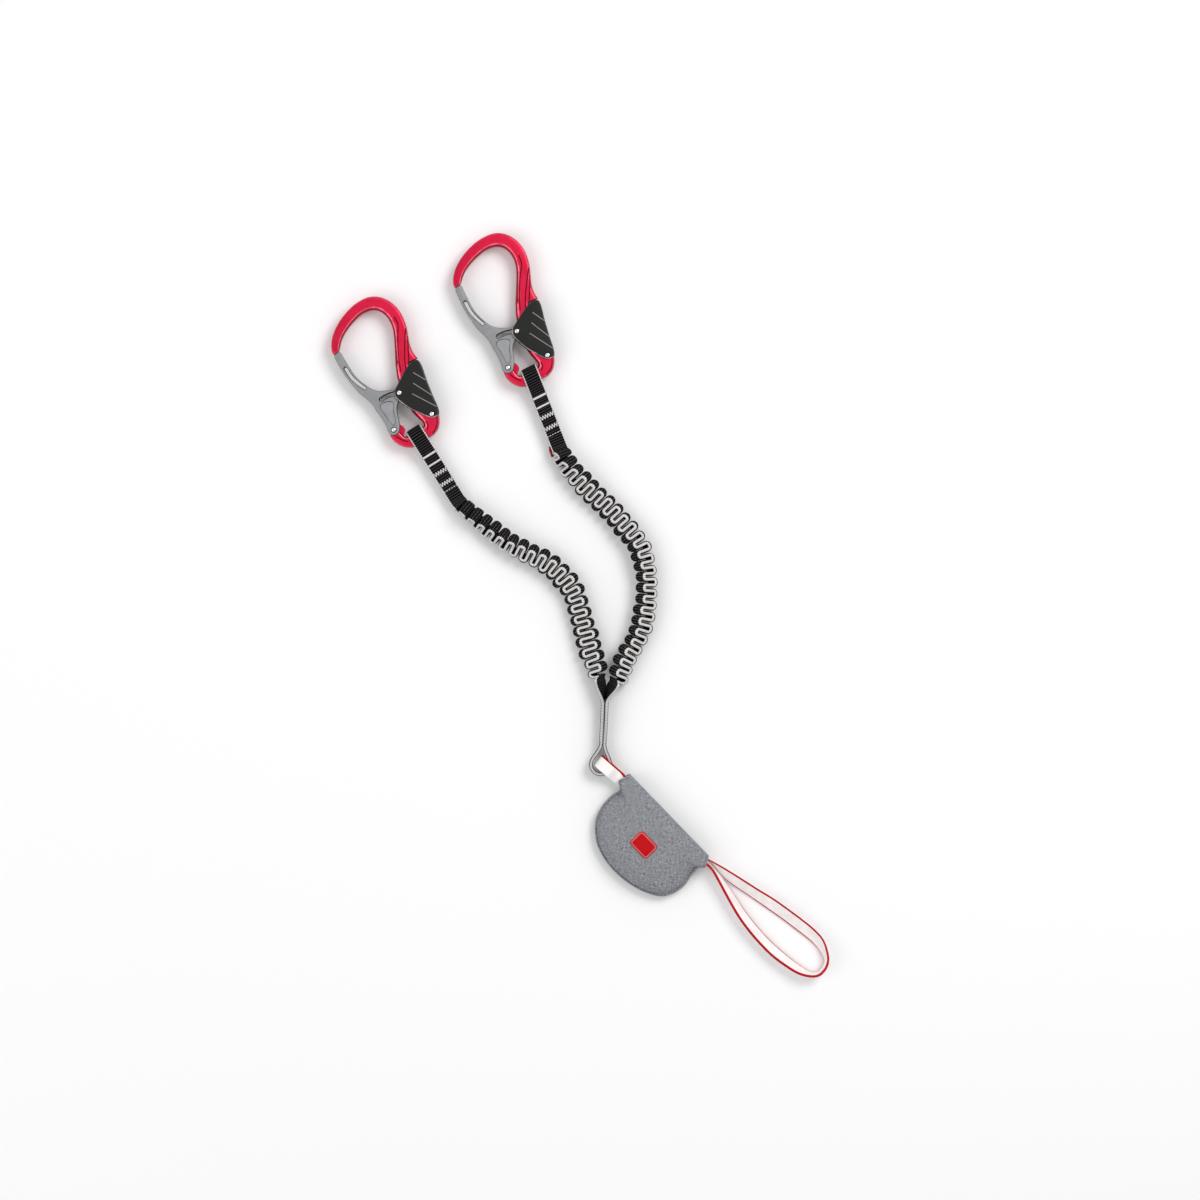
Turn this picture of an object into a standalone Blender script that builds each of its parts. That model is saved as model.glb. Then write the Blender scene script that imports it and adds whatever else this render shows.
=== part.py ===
# Via ferrata lanyard: two palm-squeeze carabiners on ruffled elastic arms, a stem, a soft pouch
# that holds the folded tear webbing, and a tie-in loop. It lies flat, as laid on a table.
# Metres, +Z up. The origin is the middle of the footprint, on the surface the lanyard lies on.

import math

import bmesh
import bpy
from mathutils import Matrix, Vector

# Layout, seen from above. Places on the table are picture points, y down, and this many rows
# of the picture span the lanyard from the right carabiner's top to the tie-in loop's tip.
LAYOUT_LENGTH = 0.6258
LAYOUT_ROWS_PX = 745
LAYOUT_CENTRE_PX = (580.46, 605.38)
METRES_PER_PX = LAYOUT_LENGTH / LAYOUT_ROWS_PX

LEFT_PIVOT_PX = (394.6, 430.6)
RIGHT_PIVOT_PX = (508.3, 368.7)
LEFT_CARABINER_TURN = math.radians(14.1)
RIGHT_CARABINER_TURN = math.radians(9.0)
LEFT_SEWN_TURN = math.radians(-58.0)
RIGHT_SEWN_TURN = math.radians(-68.5)

# Carabiner. Outlines are in 131st shares of its length, from the gate pivot, y towards the nose.
CARABINER_LENGTH = 0.131
CARABINER_SHARE_COUNT = 131
FRAME_THICKNESS = 0.0105
FRAME_ROUNDNESS = 2.5
FRAME_SIDES = 14
BAR_WIDTH = 0.0102
BAR_TURN = math.radians(18.0)
BAR_CENTRE_SHARE = (18.5, -10.7)
WEB_THICKNESS = 0.0036
TANG_THICKNESS = 0.0032
TENON_THICKNESS = 0.0030
TENON_LENGTH = 0.0025
SPINE_RECESS_WIDTH = 0.0056
SPINE_RECESS_DEPTH = 0.0009
FRAME_RAIL_SHARES = [
    ((-27.7, 75.7), (-33.7, 72.8)), ((-26.3, 79.0), (-34.3, 77.0)), ((-22.6, 85.0), (-32.3, 85.2)),
    ((-16.5, 91.2), (-26.5, 94.4)), ((-9.5, 96.3), (-16.5, 103.8)), ((-2.0, 100.2), (-5.5, 110.2)),
    ((6.0, 101.4), (6.0, 113.0)), ((12.0, 99.4), (15.5, 110.9)), ((16.2, 95.0), (23.8, 104.3)),
    ((18.7, 89.5), (29.0, 95.3)), ((19.6, 82.5), (31.2, 84.0)), ((18.8, 74.5), (31.0, 75.0)),
    ((17.3, 66.5), (30.4, 67.0)), ((15.6, 58.0), (31.4, 59.5)), ((14.6, 53.4), (33.9, 53.4)),
    ((14.3, 51.2), (25.7, 51.4)), ((13.4, 43.0), (25.8, 43.0)), ((13.3, 36.0), (27.6, 35.4)),
    ((14.0, 28.0), (30.2, 26.5)), ((15.7, 19.0), (33.4, 17.5)), ((18.6, 10.8), (37.2, 9.8)),
    ((22.0, 4.6), (39.6, 2.8)), ((24.9, 0.2), (38.9, -2.2)), ((25.3, -1.8), (36.4, -8.0)),
    ((25.0, -2.8), (32.0, -11.9))]
FRAME_TANG_RAIL_SHARES = [
    ((7.0, -7.5), (8.5, -17.4)), ((6.8, -6.5), (2.5, -14.4)), ((5.8, -4.4), (-2.2, -9.0)),
    ((5.0, -2.6), (-3.9, -5.0))]
TANG_LOBE_SHARES = [
    (-3.2, 2.7), (-4.2, -0.4), (-3.6, -5.6), (-1.0, -8.4), (6.2, -8.4), (7.6, -4.8), (9.0, -3.0),
    (9.3, -1.2), (8.2, 1.2), (6.2, 3.3), (3.2, 2.7)]
SPINE_RECESS_SHARES = [(25.4, 86.0), (24.6, 74.0), (22.8, 61.7), (20.9, 52.5), (19.6, 43.5)]
POCKET_INNER_SHARE = 12.0
POCKET_OUTER_SHARE = 36.4
POCKET_START_TURN = math.radians(26.0)
POCKET_END_TURN = math.radians(80.0)

GATE_THICKNESS = 0.0090
GATE_EDGE = 0.0006
GATE_TIP_RADIUS = 0.0048
GATE_PANEL_DEPTH = 0.0006
GATE_SLOT_WIDTH = 0.0033
CAM_SLOT_WIDTH = 0.0034
GATE_OUTER_SHARES = [
    (-32.7, 72.5), (-33.2, 71.3), (-32.3, 66.7), (-30.4, 60.0), (-28.0, 52.6), (-23.6, 43.0), (-20.6, 37.0),
    (-17.4, 32.8), (-14.4, 28.6), (-11.9, 24.4), (-10.2, 19.0), (-8.7, 15.2), (-6.9, 10.5),
    (-5.4, 5.0)]
GATE_INNER_SHARES = [
    (5.6, 1.5), (6.1, 7.0), (6.3, 13.5), (7.4, 18.4), (9.7, 21.9), (11.5, 24.6), (13.0, 24.8),
    (15.2, 26.1), (16.2, 28.7), (15.2, 31.4), (12.2, 32.7), (8.0, 32.6), (2.0, 33.4),
    (-3.5, 34.4), (-8.0, 36.6), (-12.2, 40.4), (-19.7, 50.5), (-24.3, 63.0), (-26.7, 71.0),
    (-27.4, 73.5), (-28.3, 74.65)]
GATE_UPPER_SLOT_SHARES = [(-26.6, 59.4), (-23.5, 51.0), (-18.8, 44.0), (-15.0, 39.6)]
GATE_PANEL_SHARES = [
    (-6.3, 20.4), (-5.2, 22.7), (-0.5, 23.9), (5.0, 22.1), (3.4, 15.5), (3.1, 6.6), (0.9, 3.7),
    (-1.2, 6.8), (-3.8, 14.4)]
FORK_OUTER_SHARE = 37.0
FORK_START_TURN = math.radians(-60.0)
FORK_END_TURN = math.radians(99.0)
KEY_SLOT_DEPTH = 0.0032
KEY_SLOT_CLEARANCE = 0.0003

LEVER_WALL = 0.0018
LEVER_EDGE = 0.0012
LEVER_PIVOT_SHARE = (34.3, 4.8)
LOCK_PIN_SHARE = (12.2, 28.7)
LEVER_OUTLINE_SHARES = [
    (8.0, 27.5), (9.0, 31.5), (11.7, 34.8), (20.7, 45.1), (27.9, 51.1), (32.0, 52.2), (34.6, 50.6),
    (36.8, 33.6), (38.6, 20.0), (40.4, 7.5), (39.3, 3.5), (36.0, 1.7), (31.1, 3.1), (24.8, 7.7),
    (18.6, 12.7), (12.8, 19.1), (8.6, 25.0)]
LEVER_CAVITY_SHARES = [
    (-5.0, 60.0), (31.6, 60.0), (32.8, 50.0), (35.0, 33.6), (36.8, 20.0), (37.5, 14.0),
    (50.0, 14.0), (50.0, -6.0), (-5.0, -6.0)]
RIDGE_WIDTH = 0.0008
RIDGE_HEIGHT = 0.00035
RIDGE_SHARES = [[(27.8, 42.0), (36.0, 34.0)], [(25.6, 33.5), (38.3, 19.9)], [(22.7, 25.1), (39.6, 10.0)]]

RIVET_RADIUS = 0.0013
RIVET_HEAD_RADIUS = 0.0019
RIVET_HEAD_HEIGHT = 0.0006
RIVET_SIDES = 14

GATE_SPRING_RADIUS = 0.0015
GATE_SPRING_WIRE = 0.0002
GATE_SPRING_TURNS = 5
GATE_SPRING_TURN = math.radians(101.5)
GATE_SPRING_END_SHARE = 17.4
SPRING_POINTS_PER_TURN = 9
LEVER_SPRING_THICKNESS = 0.0005
LEVER_SPRING_WIDTH = 0.0060
LEVER_SPRING_SHARES = [(32.85, 21.5), (30.9, 27.5), (29.9, 33.0), (30.6, 38.5), (33.0, 43.5)]

# Motion of the lock: the palm lever turns its pin through the gate's curved slot.
LEVER_SWING = math.radians(7.5)
GATE_SWING = math.radians(28.0)

# Webbing.
TAPE_WIDTH = 0.0140
TAPE_THICKNESS = 0.0026
EYE_CLEARANCE = 0.0008
EYE_NECK = 0.0190
SEWN_LENGTH = 0.0610

RUFFLE_PITCH = 0.0095
RUFFLE_REACH = 0.0075
RUFFLE_EDGE_REACH = 0.00475
RUFFLE_EDGE_THICKNESS = 0.0022
RUFFLE_LEAD = 0.0030
SOFT_FLOOR_GAP = 0.0001
ROUTE_STEPS = 8
LEFT_ARM_PX = [
    (469.3, 511.1), (483.0, 522.5), (495.5, 532.5), (508.6, 542.3), (522.9, 549.9), (542.5, 560.2),
    (553.4, 567.8), (563.0, 577.5), (570.2, 587.2), (575.9, 598.6), (580.9, 615.0), (585.0, 630.0),
    (590.2, 649.1), (595.2, 663.0), (598.6, 673.6), (600.4, 682.0)]
RIGHT_ARM_PX = [
    (563.2, 457.4), (571.5, 470.0), (580.0, 480.0), (589.4, 490.1), (599.4, 499.8), (609.0, 509.6),
    (618.3, 519.9), (626.4, 529.2), (633.2, 537.6), (639.0, 547.0), (643.1, 557.6), (645.5, 568.8),
    (646.3, 581.0), (646.0, 594.4), (644.6, 609.0), (642.2, 622.4), (638.4, 634.6), (632.9, 645.6),
    (626.8, 656.4), (621.3, 667.2), (617.0, 677.4), (612.8, 685.6)]
# How far the ruffles lean over along each arm: (share of the arm, degrees from standing).
LEFT_ROLL_SHARES = [(0.0, 88.0), (0.06, 82.0), (0.30, 0.0), (1.0, 0.0)]
RIGHT_ROLL_SHARES = [(0.0, 88.0), (0.04, 80.0), (0.25, 0.0), (0.55, -25.0), (0.85, -15.0), (1.0, 0.0)]

STEM_RING_WIDTH = 0.0095
STEM_PLY_GAP = 0.0006
RING_RADIUS = 0.0082
RING_POINTS = 9
RING_OPEN_TURN = math.radians(28.0)
STEM_LEFT_PX = [(601.5, 690.0), (602.4, 697.4)]
STEM_RIGHT_PX = [(609.3, 692.0), (607.2, 698.5)]
STEM_MIDDLE_PX = [(604.7, 704.0), (604.4, 712.0), (603.9, 724.0), (603.2, 736.0), (602.6, 746.0)]
RING_CENTRE_PX = (600.7, 764.0)

LINK_WIDTH = 0.0110
SLING_THICKNESS = 0.0016
LINK_PLY_GAP = 0.0008
LINK_ROOM = 0.0004
LINK_POUCH_HEIGHT = 0.0084
LINK_STRAIGHT = 0.0084
LINK_FOLD_POINTS = 9
LINK_STEPS = 12
LINK_HINGE_PX = (603.5, 764.3)
LINK_PX = [(603.5, 764.3), (612.3, 771.9), (621.2, 779.6), (627.6, 787.2), (633.6, 798.5)]
LINK_MOUTH_SHARE = 0.42
LINK_MOUTH_ROLL = math.radians(68.0)

TIE_IN_WIDTH = 0.0125
TIE_IN_LIFT = 0.0008
TIE_IN_MOUTH_LIFT = 0.0024
TIE_IN_TOP_PX = [
    (684.2, 850.1), (694.8, 856.4), (704.2, 861.5), (711.1, 867.8), (718.7, 881.1), (728.3, 899.3),
    (737.8, 915.6), (747.4, 929.0), (758.9, 942.4), (771.3, 954.8), (785.7, 965.4), (797.2, 972.1),
    (808.7, 974.9), (817.3, 974.0), (824.0, 968.2), (827.3, 959.6), (826.4, 949.1), (822.1, 937.6),
    (813.4, 928.0), (802.9, 919.3), (789.5, 909.3), (774.2, 898.4), (757.0, 887.8), (743.6, 879.2),
    (728.3, 869.7), (718.7, 864.0), (708.0, 858.5), (697.0, 854.2), (686.0, 848.3)]
TIE_IN_BOTTOM_PX = [
    (684.2, 850.1), (694.8, 856.4), (705.2, 862.3), (714.5, 870.0), (724.3, 881.9), (735.0, 897.0),
    (744.3, 911.0), (754.0, 923.5), (764.6, 935.7), (776.3, 947.0), (788.5, 957.5), (798.5, 965.3),
    (809.0, 972.0), (816.8, 972.8), (822.8, 967.0), (825.0, 960.0), (820.5, 951.0), (812.5, 942.3),
    (804.5, 935.8), (795.3, 928.8), (782.5, 919.0), (767.5, 908.5), (751.5, 897.3), (738.5, 888.6),
    (727.0, 880.0), (717.6, 870.5), (707.4, 859.7), (697.0, 854.2), (686.0, 848.3)]
TIE_IN_MOUTH_STATION = 2
TIE_IN_DROP_STATIONS = 3

# Pouch: a folded sheet, in 95th shares of its fold, x along the fold and depth away from it.
POUCH_CORNER_PX = (629.4, 773.9)
POUCH_TURN = math.radians(-46.0)
POUCH_LENGTH = 0.0950
POUCH_SHARE_COUNT = 95
POUCH_HEIGHT = 0.0195
POUCH_WALL = 0.0012
POUCH_FOLD_TOP = 0.0172
POUCH_FOLD_BOTTOM = 0.0006
POUCH_EAR_TOP = 0.0164
POUCH_EAR_BOTTOM = 0.0003
POUCH_FOLD_COLUMNS = 8
SEAM_HEIGHT = 0.0060
SEAM_GAP = 0.0003
STRIP_THICKNESS = 0.0014
POUCH_CENTRE_SHARE = (48.5, 30.0)
POUCH_EAR_SHARES = [(-2.9, 10.2), (3.3, 13.4)]
POUCH_RIM_SHARES = [
    (4.1, 15.9), (2.6, 20.8), (2.2, 29.1), (3.9, 38.4), (7.6, 46.9), (15.0, 54.9), (24.4, 60.8),
    (35.2, 64.2), (47.8, 65.6), (61.3, 64.6), (73.1, 61.9), (83.9, 57.4), (92.4, 51.4),
    (97.4, 42.3), (99.0, 31.8), (97.6, 24.2), (96.4, 15.3)]
POUCH_FAR_EAR_SHARES = [(96.3, 12.1), (99.5, 8.7)]
# Rings of the sheet from its seam to its middle: (share of the outline, share of the rise).
POUCH_RISE_SHARES = [(1.0, 0.0), (0.958, 0.03), (0.92, 0.36), (0.85, 0.66), (0.74, 0.88), (0.58, 1.0)]
STRIP_OUTER_SHARE = 0.992
STRIP_INNER_SHARE = 0.905

PACK_WIDTH = 0.0120
PACK_BOTTOM = 0.00185
PACK_THICKNESS = 0.0024
PACK_PITCH = 0.0036
PACK_RUNS = 9
PACK_START_SHARE = (20.5, 13.0)
PACK_END_SHARE = 76.0

PATCH_LENGTH = 0.0200
PATCH_WIDTH = 0.0150
PATCH_THICKNESS = 0.0008
PATCH_CORNER = 0.0030
PATCH_CENTRE_SHARE = (50.0, 32.0)

HOLE_SIDES = 20
PIN_CLEARANCE = 0.00034
RUNNING_GAP = 0.0003
FORK_GAP = 0.0004
LEVER_GAP = 0.0004
CUT_OVERRUN = 0.0020
ARC_STEPS = 8

UP = Vector((0, 0, 1))
RED_ANODISED = ((0.62, 0.02, 0.08), 0.32, 0.85)
GATE_GREY = ((0.30, 0.31, 0.32), 0.42, 0.80)
LEVER_BLACK = ((0.03, 0.03, 0.032), 0.45, 0.0)
BRIGHT_STEEL = ((0.78, 0.78, 0.80), 0.22, 1.0)
BLACK_WEBBING = ((0.028, 0.028, 0.030), 0.85, 0.0)
GREY_WEBBING = ((0.42, 0.43, 0.42), 0.85, 0.0)
WHITE_SLING = ((0.82, 0.78, 0.77), 0.75, 0.0)
MELANGE_GREY = ((0.22, 0.22, 0.24), 0.9, 0.0)
DARK_TAPE = ((0.05, 0.05, 0.055), 0.9, 0.0)
PATCH_RED = ((0.60, 0.02, 0.03), 0.7, 0.0)

# Sizes that follow from the ones above.
CARABINER_UNIT = CARABINER_LENGTH / CARABINER_SHARE_COUNT
POUCH_UNIT = POUCH_LENGTH / POUCH_SHARE_COUNT
BAR_REACH = max(BAR_WIDTH, FRAME_THICKNESS) / 2 * 2 ** (0.5 - 1 / FRAME_ROUNDNESS)
EYE_RADIUS = BAR_REACH + EYE_CLEARANCE
MID_HEIGHT = EYE_RADIUS + TAPE_THICKNESS
FORK_WIDTH = WEB_THICKNESS + 2 * FORK_GAP
LEVER_CAVITY = max(FRAME_THICKNESS, GATE_THICKNESS) + 2 * LEVER_GAP
LEVER_THICKNESS = LEVER_CAVITY + 2 * LEVER_WALL
PIN_HOLE_RADIUS = RIVET_RADIUS + PIN_CLEARANCE
LINK_SPREAD = STEM_RING_WIDTH + 2 * LINK_ROOM + SLING_THICKNESS
LINK_HEIGHT = (LINK_SPREAD + SLING_THICKNESS) / 2 + RUNNING_GAP


def clear_scene():
    for obj in list(bpy.data.objects):
        bpy.data.objects.remove(obj, do_unlink=True)


def make_collection(name):
    collection = bpy.data.collections.new(name)
    bpy.context.scene.collection.children.link(collection)
    return collection


def make_material(name, finish):
    color, roughness, metallic = finish
    material = bpy.data.materials.new(name)
    material.use_nodes = True
    shader = material.node_tree.nodes["Principled BSDF"]
    shader.inputs["Base Color"].default_value = (*color, 1)
    shader.inputs["Roughness"].default_value = roughness
    shader.inputs["Metallic"].default_value = metallic
    material.diffuse_color = (*color, 1)
    return material


def on_table(px):
    # A picture point as a place on the table.
    return Vector(((px[0] - LAYOUT_CENTRE_PX[0]) * METRES_PER_PX,
                   (LAYOUT_CENTRE_PX[1] - px[1]) * METRES_PER_PX, 0))


def on_carabiner(share):
    return Vector((share[0] * CARABINER_UNIT, share[1] * CARABINER_UNIT, 0))


def on_pouch(share):
    # x along the fold; depth runs to local -Y.
    return Vector((share[0] * POUCH_UNIT, -share[1] * POUCH_UNIT, 0))


def heading(turn):
    return Vector((math.cos(turn), math.sin(turn), 0))


def side_of(direction):
    # The horizontal direction to the left of a heading.
    return Vector((-direction.y, direction.x, 0)).normalized()


def smooth_step(t):
    t = min(max(t, 0.0), 1.0)
    return t * t * (3 - 2 * t)


def read_table(table, share):
    # Smooth reading of a table of (share, value) pairs.
    for (start, low), (end, high) in zip(table, table[1:]):
        if share <= end:
            return low + (high - low) * smooth_step((share - start) / (end - start))
    return table[-1][1]


def smooth_through(points, steps):
    # Points on a smooth curve that passes through all the given ones.
    padded = [points[0] * 2 - points[1], *points, points[-1] * 2 - points[-2]]
    curve = []
    for a, b, c, d in zip(padded, padded[1:], padded[2:], padded[3:]):
        for step in range(steps):
            t = step / steps
            curve.append((b * 2 + (c - a) * t + (a * 2 - b * 5 + c * 4 - d) * t ** 2
                          + (b * 3 - a - c * 3 + d) * t ** 3) / 2)
    return curve + [points[-1].copy()]


class Route:
    # A smooth route that can be read by the distance along it.
    def __init__(self, points):
        self.points = smooth_through(points, ROUTE_STEPS)
        self.reach = [0.0]
        for a, b in zip(self.points, self.points[1:]):
            self.reach.append(self.reach[-1] + (b - a).length)
        self.length = self.reach[-1]

    def place(self, distance):
        index = 0
        while index < len(self.reach) - 2 and self.reach[index + 1] < distance:
            index += 1
        step = self.reach[index + 1] - self.reach[index]
        t = (distance - self.reach[index]) / step
        return self.points[index].lerp(self.points[index + 1], t)

    def direction(self, distance):
        window = self.length / len(self.points)
        ahead = self.place(min(distance + window, self.length))
        behind = self.place(max(distance - window, 0))
        return (ahead - behind).normalized()


def link_object(name, mesh, collection):
    obj = bpy.data.objects.new(name, mesh)
    collection.objects.link(obj)
    return obj


def loft(name, rings, collection):
    # A closed solid through rings of points, with a flat cap at each end.
    bm = bmesh.new()
    loops = [[bm.verts.new(point) for point in ring] for ring in rings]
    count = len(loops[0])
    for low, high in zip(loops, loops[1:]):
        for i in range(count):
            j = (i + 1) % count
            bm.faces.new((low[i], low[j], high[j], high[i]))
    bm.faces.new(list(reversed(loops[0])))
    bm.faces.new(loops[-1])
    bmesh.ops.recalc_face_normals(bm, faces=bm.faces)
    mesh = bpy.data.meshes.new(name)
    bm.to_mesh(mesh)
    bm.free()
    return link_object(name, mesh, collection)


def strap_ring(centre, width_axis, face_axis, width, thickness):
    across = width_axis * (width / 2)
    out = face_axis * (thickness / 2)
    return [centre + across + out, centre - across + out, centre - across - out, centre + across - out]


def curve_to_mesh(name, curve, collection):
    source = link_object(name, curve, collection)
    evaluated = source.evaluated_get(bpy.context.evaluated_depsgraph_get())
    mesh = bpy.data.meshes.new_from_object(evaluated)
    bpy.data.objects.remove(source, do_unlink=True)
    bm = bmesh.new()
    bm.from_mesh(mesh)
    bmesh.ops.remove_doubles(bm, verts=bm.verts, dist=METRES_PER_PX / LAYOUT_ROWS_PX)
    bmesh.ops.recalc_face_normals(bm, faces=bm.faces)
    bm.to_mesh(mesh)
    bm.free()
    return link_object(name, mesh, collection)


def plate(name, outlines, low, high, collection):
    # A flat plate between two heights; the first outline is its edge and the others are holes.
    curve = bpy.data.curves.new(name, "CURVE")
    curve.dimensions = "2D"
    curve.fill_mode = "BOTH"
    curve.extrude = (high - low) / 2
    for outline in outlines:
        spline = curve.splines.new("POLY")
        spline.points.add(len(outline) - 1)
        for point, place in zip(spline.points, outline):
            point.co = (place.x, place.y, 0, 1)
        spline.use_cyclic_u = True
    obj = curve_to_mesh(name, curve, collection)
    obj.data.transform(Matrix.Translation((0, 0, (high + low) / 2)))
    return obj


def cylinder(name, radius, low, high, centre, collection):
    bm = bmesh.new()
    bmesh.ops.create_cone(bm, cap_ends=True, segments=HOLE_SIDES, radius1=radius, radius2=radius,
                          depth=high - low)
    mesh = bpy.data.meshes.new(name)
    bm.to_mesh(mesh)
    bm.free()
    mesh.transform(Matrix.Translation((centre.x, centre.y, (high + low) / 2)))
    return link_object(name, mesh, collection)


def arc(centre, radius, start, end, steps):
    return [centre + heading(start + (end - start) * i / steps) * radius for i in range(steps + 1)]


def track(points, width):
    # The outline of a track of even width with round ends.
    left, right = [], []
    for i, point in enumerate(points):
        before = points[max(i - 1, 0)]
        after = points[min(i + 1, len(points) - 1)]
        side = side_of(after - before) * (width / 2)
        left.append(point + side)
        right.append(point - side)
    end = math.atan2(*(points[-1] - points[-2]).yx)
    start = math.atan2(*(points[0] - points[1]).yx)
    cap = arc(points[-1], width / 2, end + math.pi / 2, end - math.pi / 2, ARC_STEPS)
    tail = arc(points[0], width / 2, start + math.pi / 2, start - math.pi / 2, ARC_STEPS)
    return left[:-1] + cap + list(reversed(right))[1:-1] + tail[:-1]


def combine(target, tools, operation):
    for tool in tools:
        modifier = target.modifiers.new(tool.name, "BOOLEAN")
        modifier.operation = operation
        modifier.solver = "EXACT"
        modifier.object = tool


def bevel(obj, width):
    modifier = obj.modifiers.new("edge", "BEVEL")
    modifier.width = width
    modifier.segments = 2
    modifier.limit_method = "ANGLE"
    modifier.angle_limit = math.radians(60)


def baked_mesh(obj, name):
    # The object's finished mesh; the object and the tools it was cut with are removed.
    evaluated = obj.evaluated_get(bpy.context.evaluated_depsgraph_get())
    mesh = bpy.data.meshes.new_from_object(evaluated)
    mesh.name = name
    tools = [modifier.object for modifier in obj.modifiers if modifier.type == "BOOLEAN"]
    bpy.data.objects.remove(obj, do_unlink=True)
    for tool in tools:
        bpy.data.objects.remove(tool, do_unlink=True)
    return mesh


def add_node(name, mesh, material, parent, collection, sharp=40):
    obj = bpy.data.objects.new(name, mesh)
    collection.objects.link(obj)
    obj.parent = parent
    if not mesh.materials:
        mesh.materials.append(material)
    mesh.shade_smooth()
    mesh.set_sharp_from_angle(angle=math.radians(sharp))
    return obj


def add_empty(name, location, turn, parent, collection):
    empty = bpy.data.objects.new(name, None)
    collection.objects.link(empty)
    empty.parent = parent
    empty.location = location
    empty.rotation_euler = (0, 0, turn)
    return empty


def pin_in_gate(lever_angle):
    # Where the lock pin stands in the gate's own frame when the lever has turned this far.
    pivot = on_carabiner(LEVER_PIVOT_SHARE)
    pin = on_carabiner(LOCK_PIN_SHARE)
    turned = pivot + Matrix.Rotation(lever_angle, 3, "Z") @ (pin - pivot)
    gate_angle = lever_angle / LEVER_SWING * GATE_SWING
    return Matrix.Rotation(gate_angle, 3, "Z") @ turned


def rail_ring(inner, outer):
    # A rounded section between the inside and the outside rail.
    middle = (inner + outer) / 2
    reach = (outer - inner) / 2
    ring = []
    for i in range(FRAME_SIDES):
        angle = 2 * math.pi * (i + 0.5) / FRAME_SIDES
        c, s = math.cos(angle), math.sin(angle)
        power = 2 / FRAME_ROUNDNESS
        across = math.copysign(abs(c) ** power, c)
        rise = math.copysign(abs(s) ** power, s)
        ring.append(middle + reach * across + UP * (rise * FRAME_THICKNESS / 2))
    return ring


def bar_rails():
    # The straight bar that the webbing's eye goes round.
    centre = on_carabiner(BAR_CENTRE_SHARE)
    along = heading(BAR_TURN)
    out = -side_of(along) * (BAR_WIDTH / 2)
    half = TAPE_WIDTH / 2 + RUNNING_GAP + EYE_CLEARANCE / 4
    return [(centre + along * reach - out, centre + along * reach + out)
            for reach in (half, half / 2, -half / 2, -half)]


def frame_mesh(cutters):
    rails = [(on_carabiner(a), on_carabiner(b)) for a, b in FRAME_RAIL_SHARES]
    rails += bar_rails()
    rails += [(on_carabiner(a), on_carabiner(b)) for a, b in FRAME_TANG_RAIL_SHARES]
    body = loft("frame_body", [rail_ring(a, b) for a, b in rails], cutters)

    tang = plate("tang", [[on_carabiner(p) for p in TANG_LOBE_SHARES]],
                 -TANG_THICKNESS / 2, TANG_THICKNESS / 2, cutters)
    nose_in, nose_out = rails[0]
    along = (nose_out - nose_in).normalized()
    down = side_of(along)
    setback = along * (TENON_LENGTH / 2)
    corners = [nose_in + setback - down * TENON_LENGTH, nose_out - setback - down * TENON_LENGTH,
               nose_out - setback + down * TENON_LENGTH, nose_in + setback + down * TENON_LENGTH]
    tenon = plate("tenon", [corners], -TENON_THICKNESS / 2, TENON_THICKNESS / 2, cutters)
    combine(body, [tang, tenon], "UNION")

    top = FRAME_THICKNESS / 2 + CUT_OVERRUN
    floor = WEB_THICKNESS / 2
    recess = FRAME_THICKNESS / 2 - SPINE_RECESS_DEPTH
    origin = Vector((0, 0, 0))
    pocket = (arc(origin, POCKET_OUTER_SHARE * CARABINER_UNIT, POCKET_START_TURN, POCKET_END_TURN, ARC_STEPS)
              + arc(origin, POCKET_INNER_SHARE * CARABINER_UNIT, POCKET_END_TURN, POCKET_START_TURN, ARC_STEPS))
    spine = track(smooth_through([on_carabiner(p) for p in SPINE_RECESS_SHARES], 3), SPINE_RECESS_WIDTH)
    tools = []
    for face, (near, far) in (("top", (floor, top)), ("bottom", (-top, -floor))):
        tools.append(plate("pocket_" + face, [pocket], near, far, cutters))
        tools.append(cylinder("seat_" + face, GATE_TIP_RADIUS + FORK_GAP, near, far, origin, cutters))
    tools.append(plate("spine_top", [spine], recess, top, cutters))
    tools.append(plate("spine_bottom", [spine], -top, -recess, cutters))
    tools.append(cylinder("gate_hole", PIN_HOLE_RADIUS, -top, top, origin, cutters))
    tools.append(cylinder("lever_hole", PIN_HOLE_RADIUS, -top, top, on_carabiner(LEVER_PIVOT_SHARE), cutters))
    combine(body, tools, "DIFFERENCE")
    return baked_mesh(body, "carabiner_frame")


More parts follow.
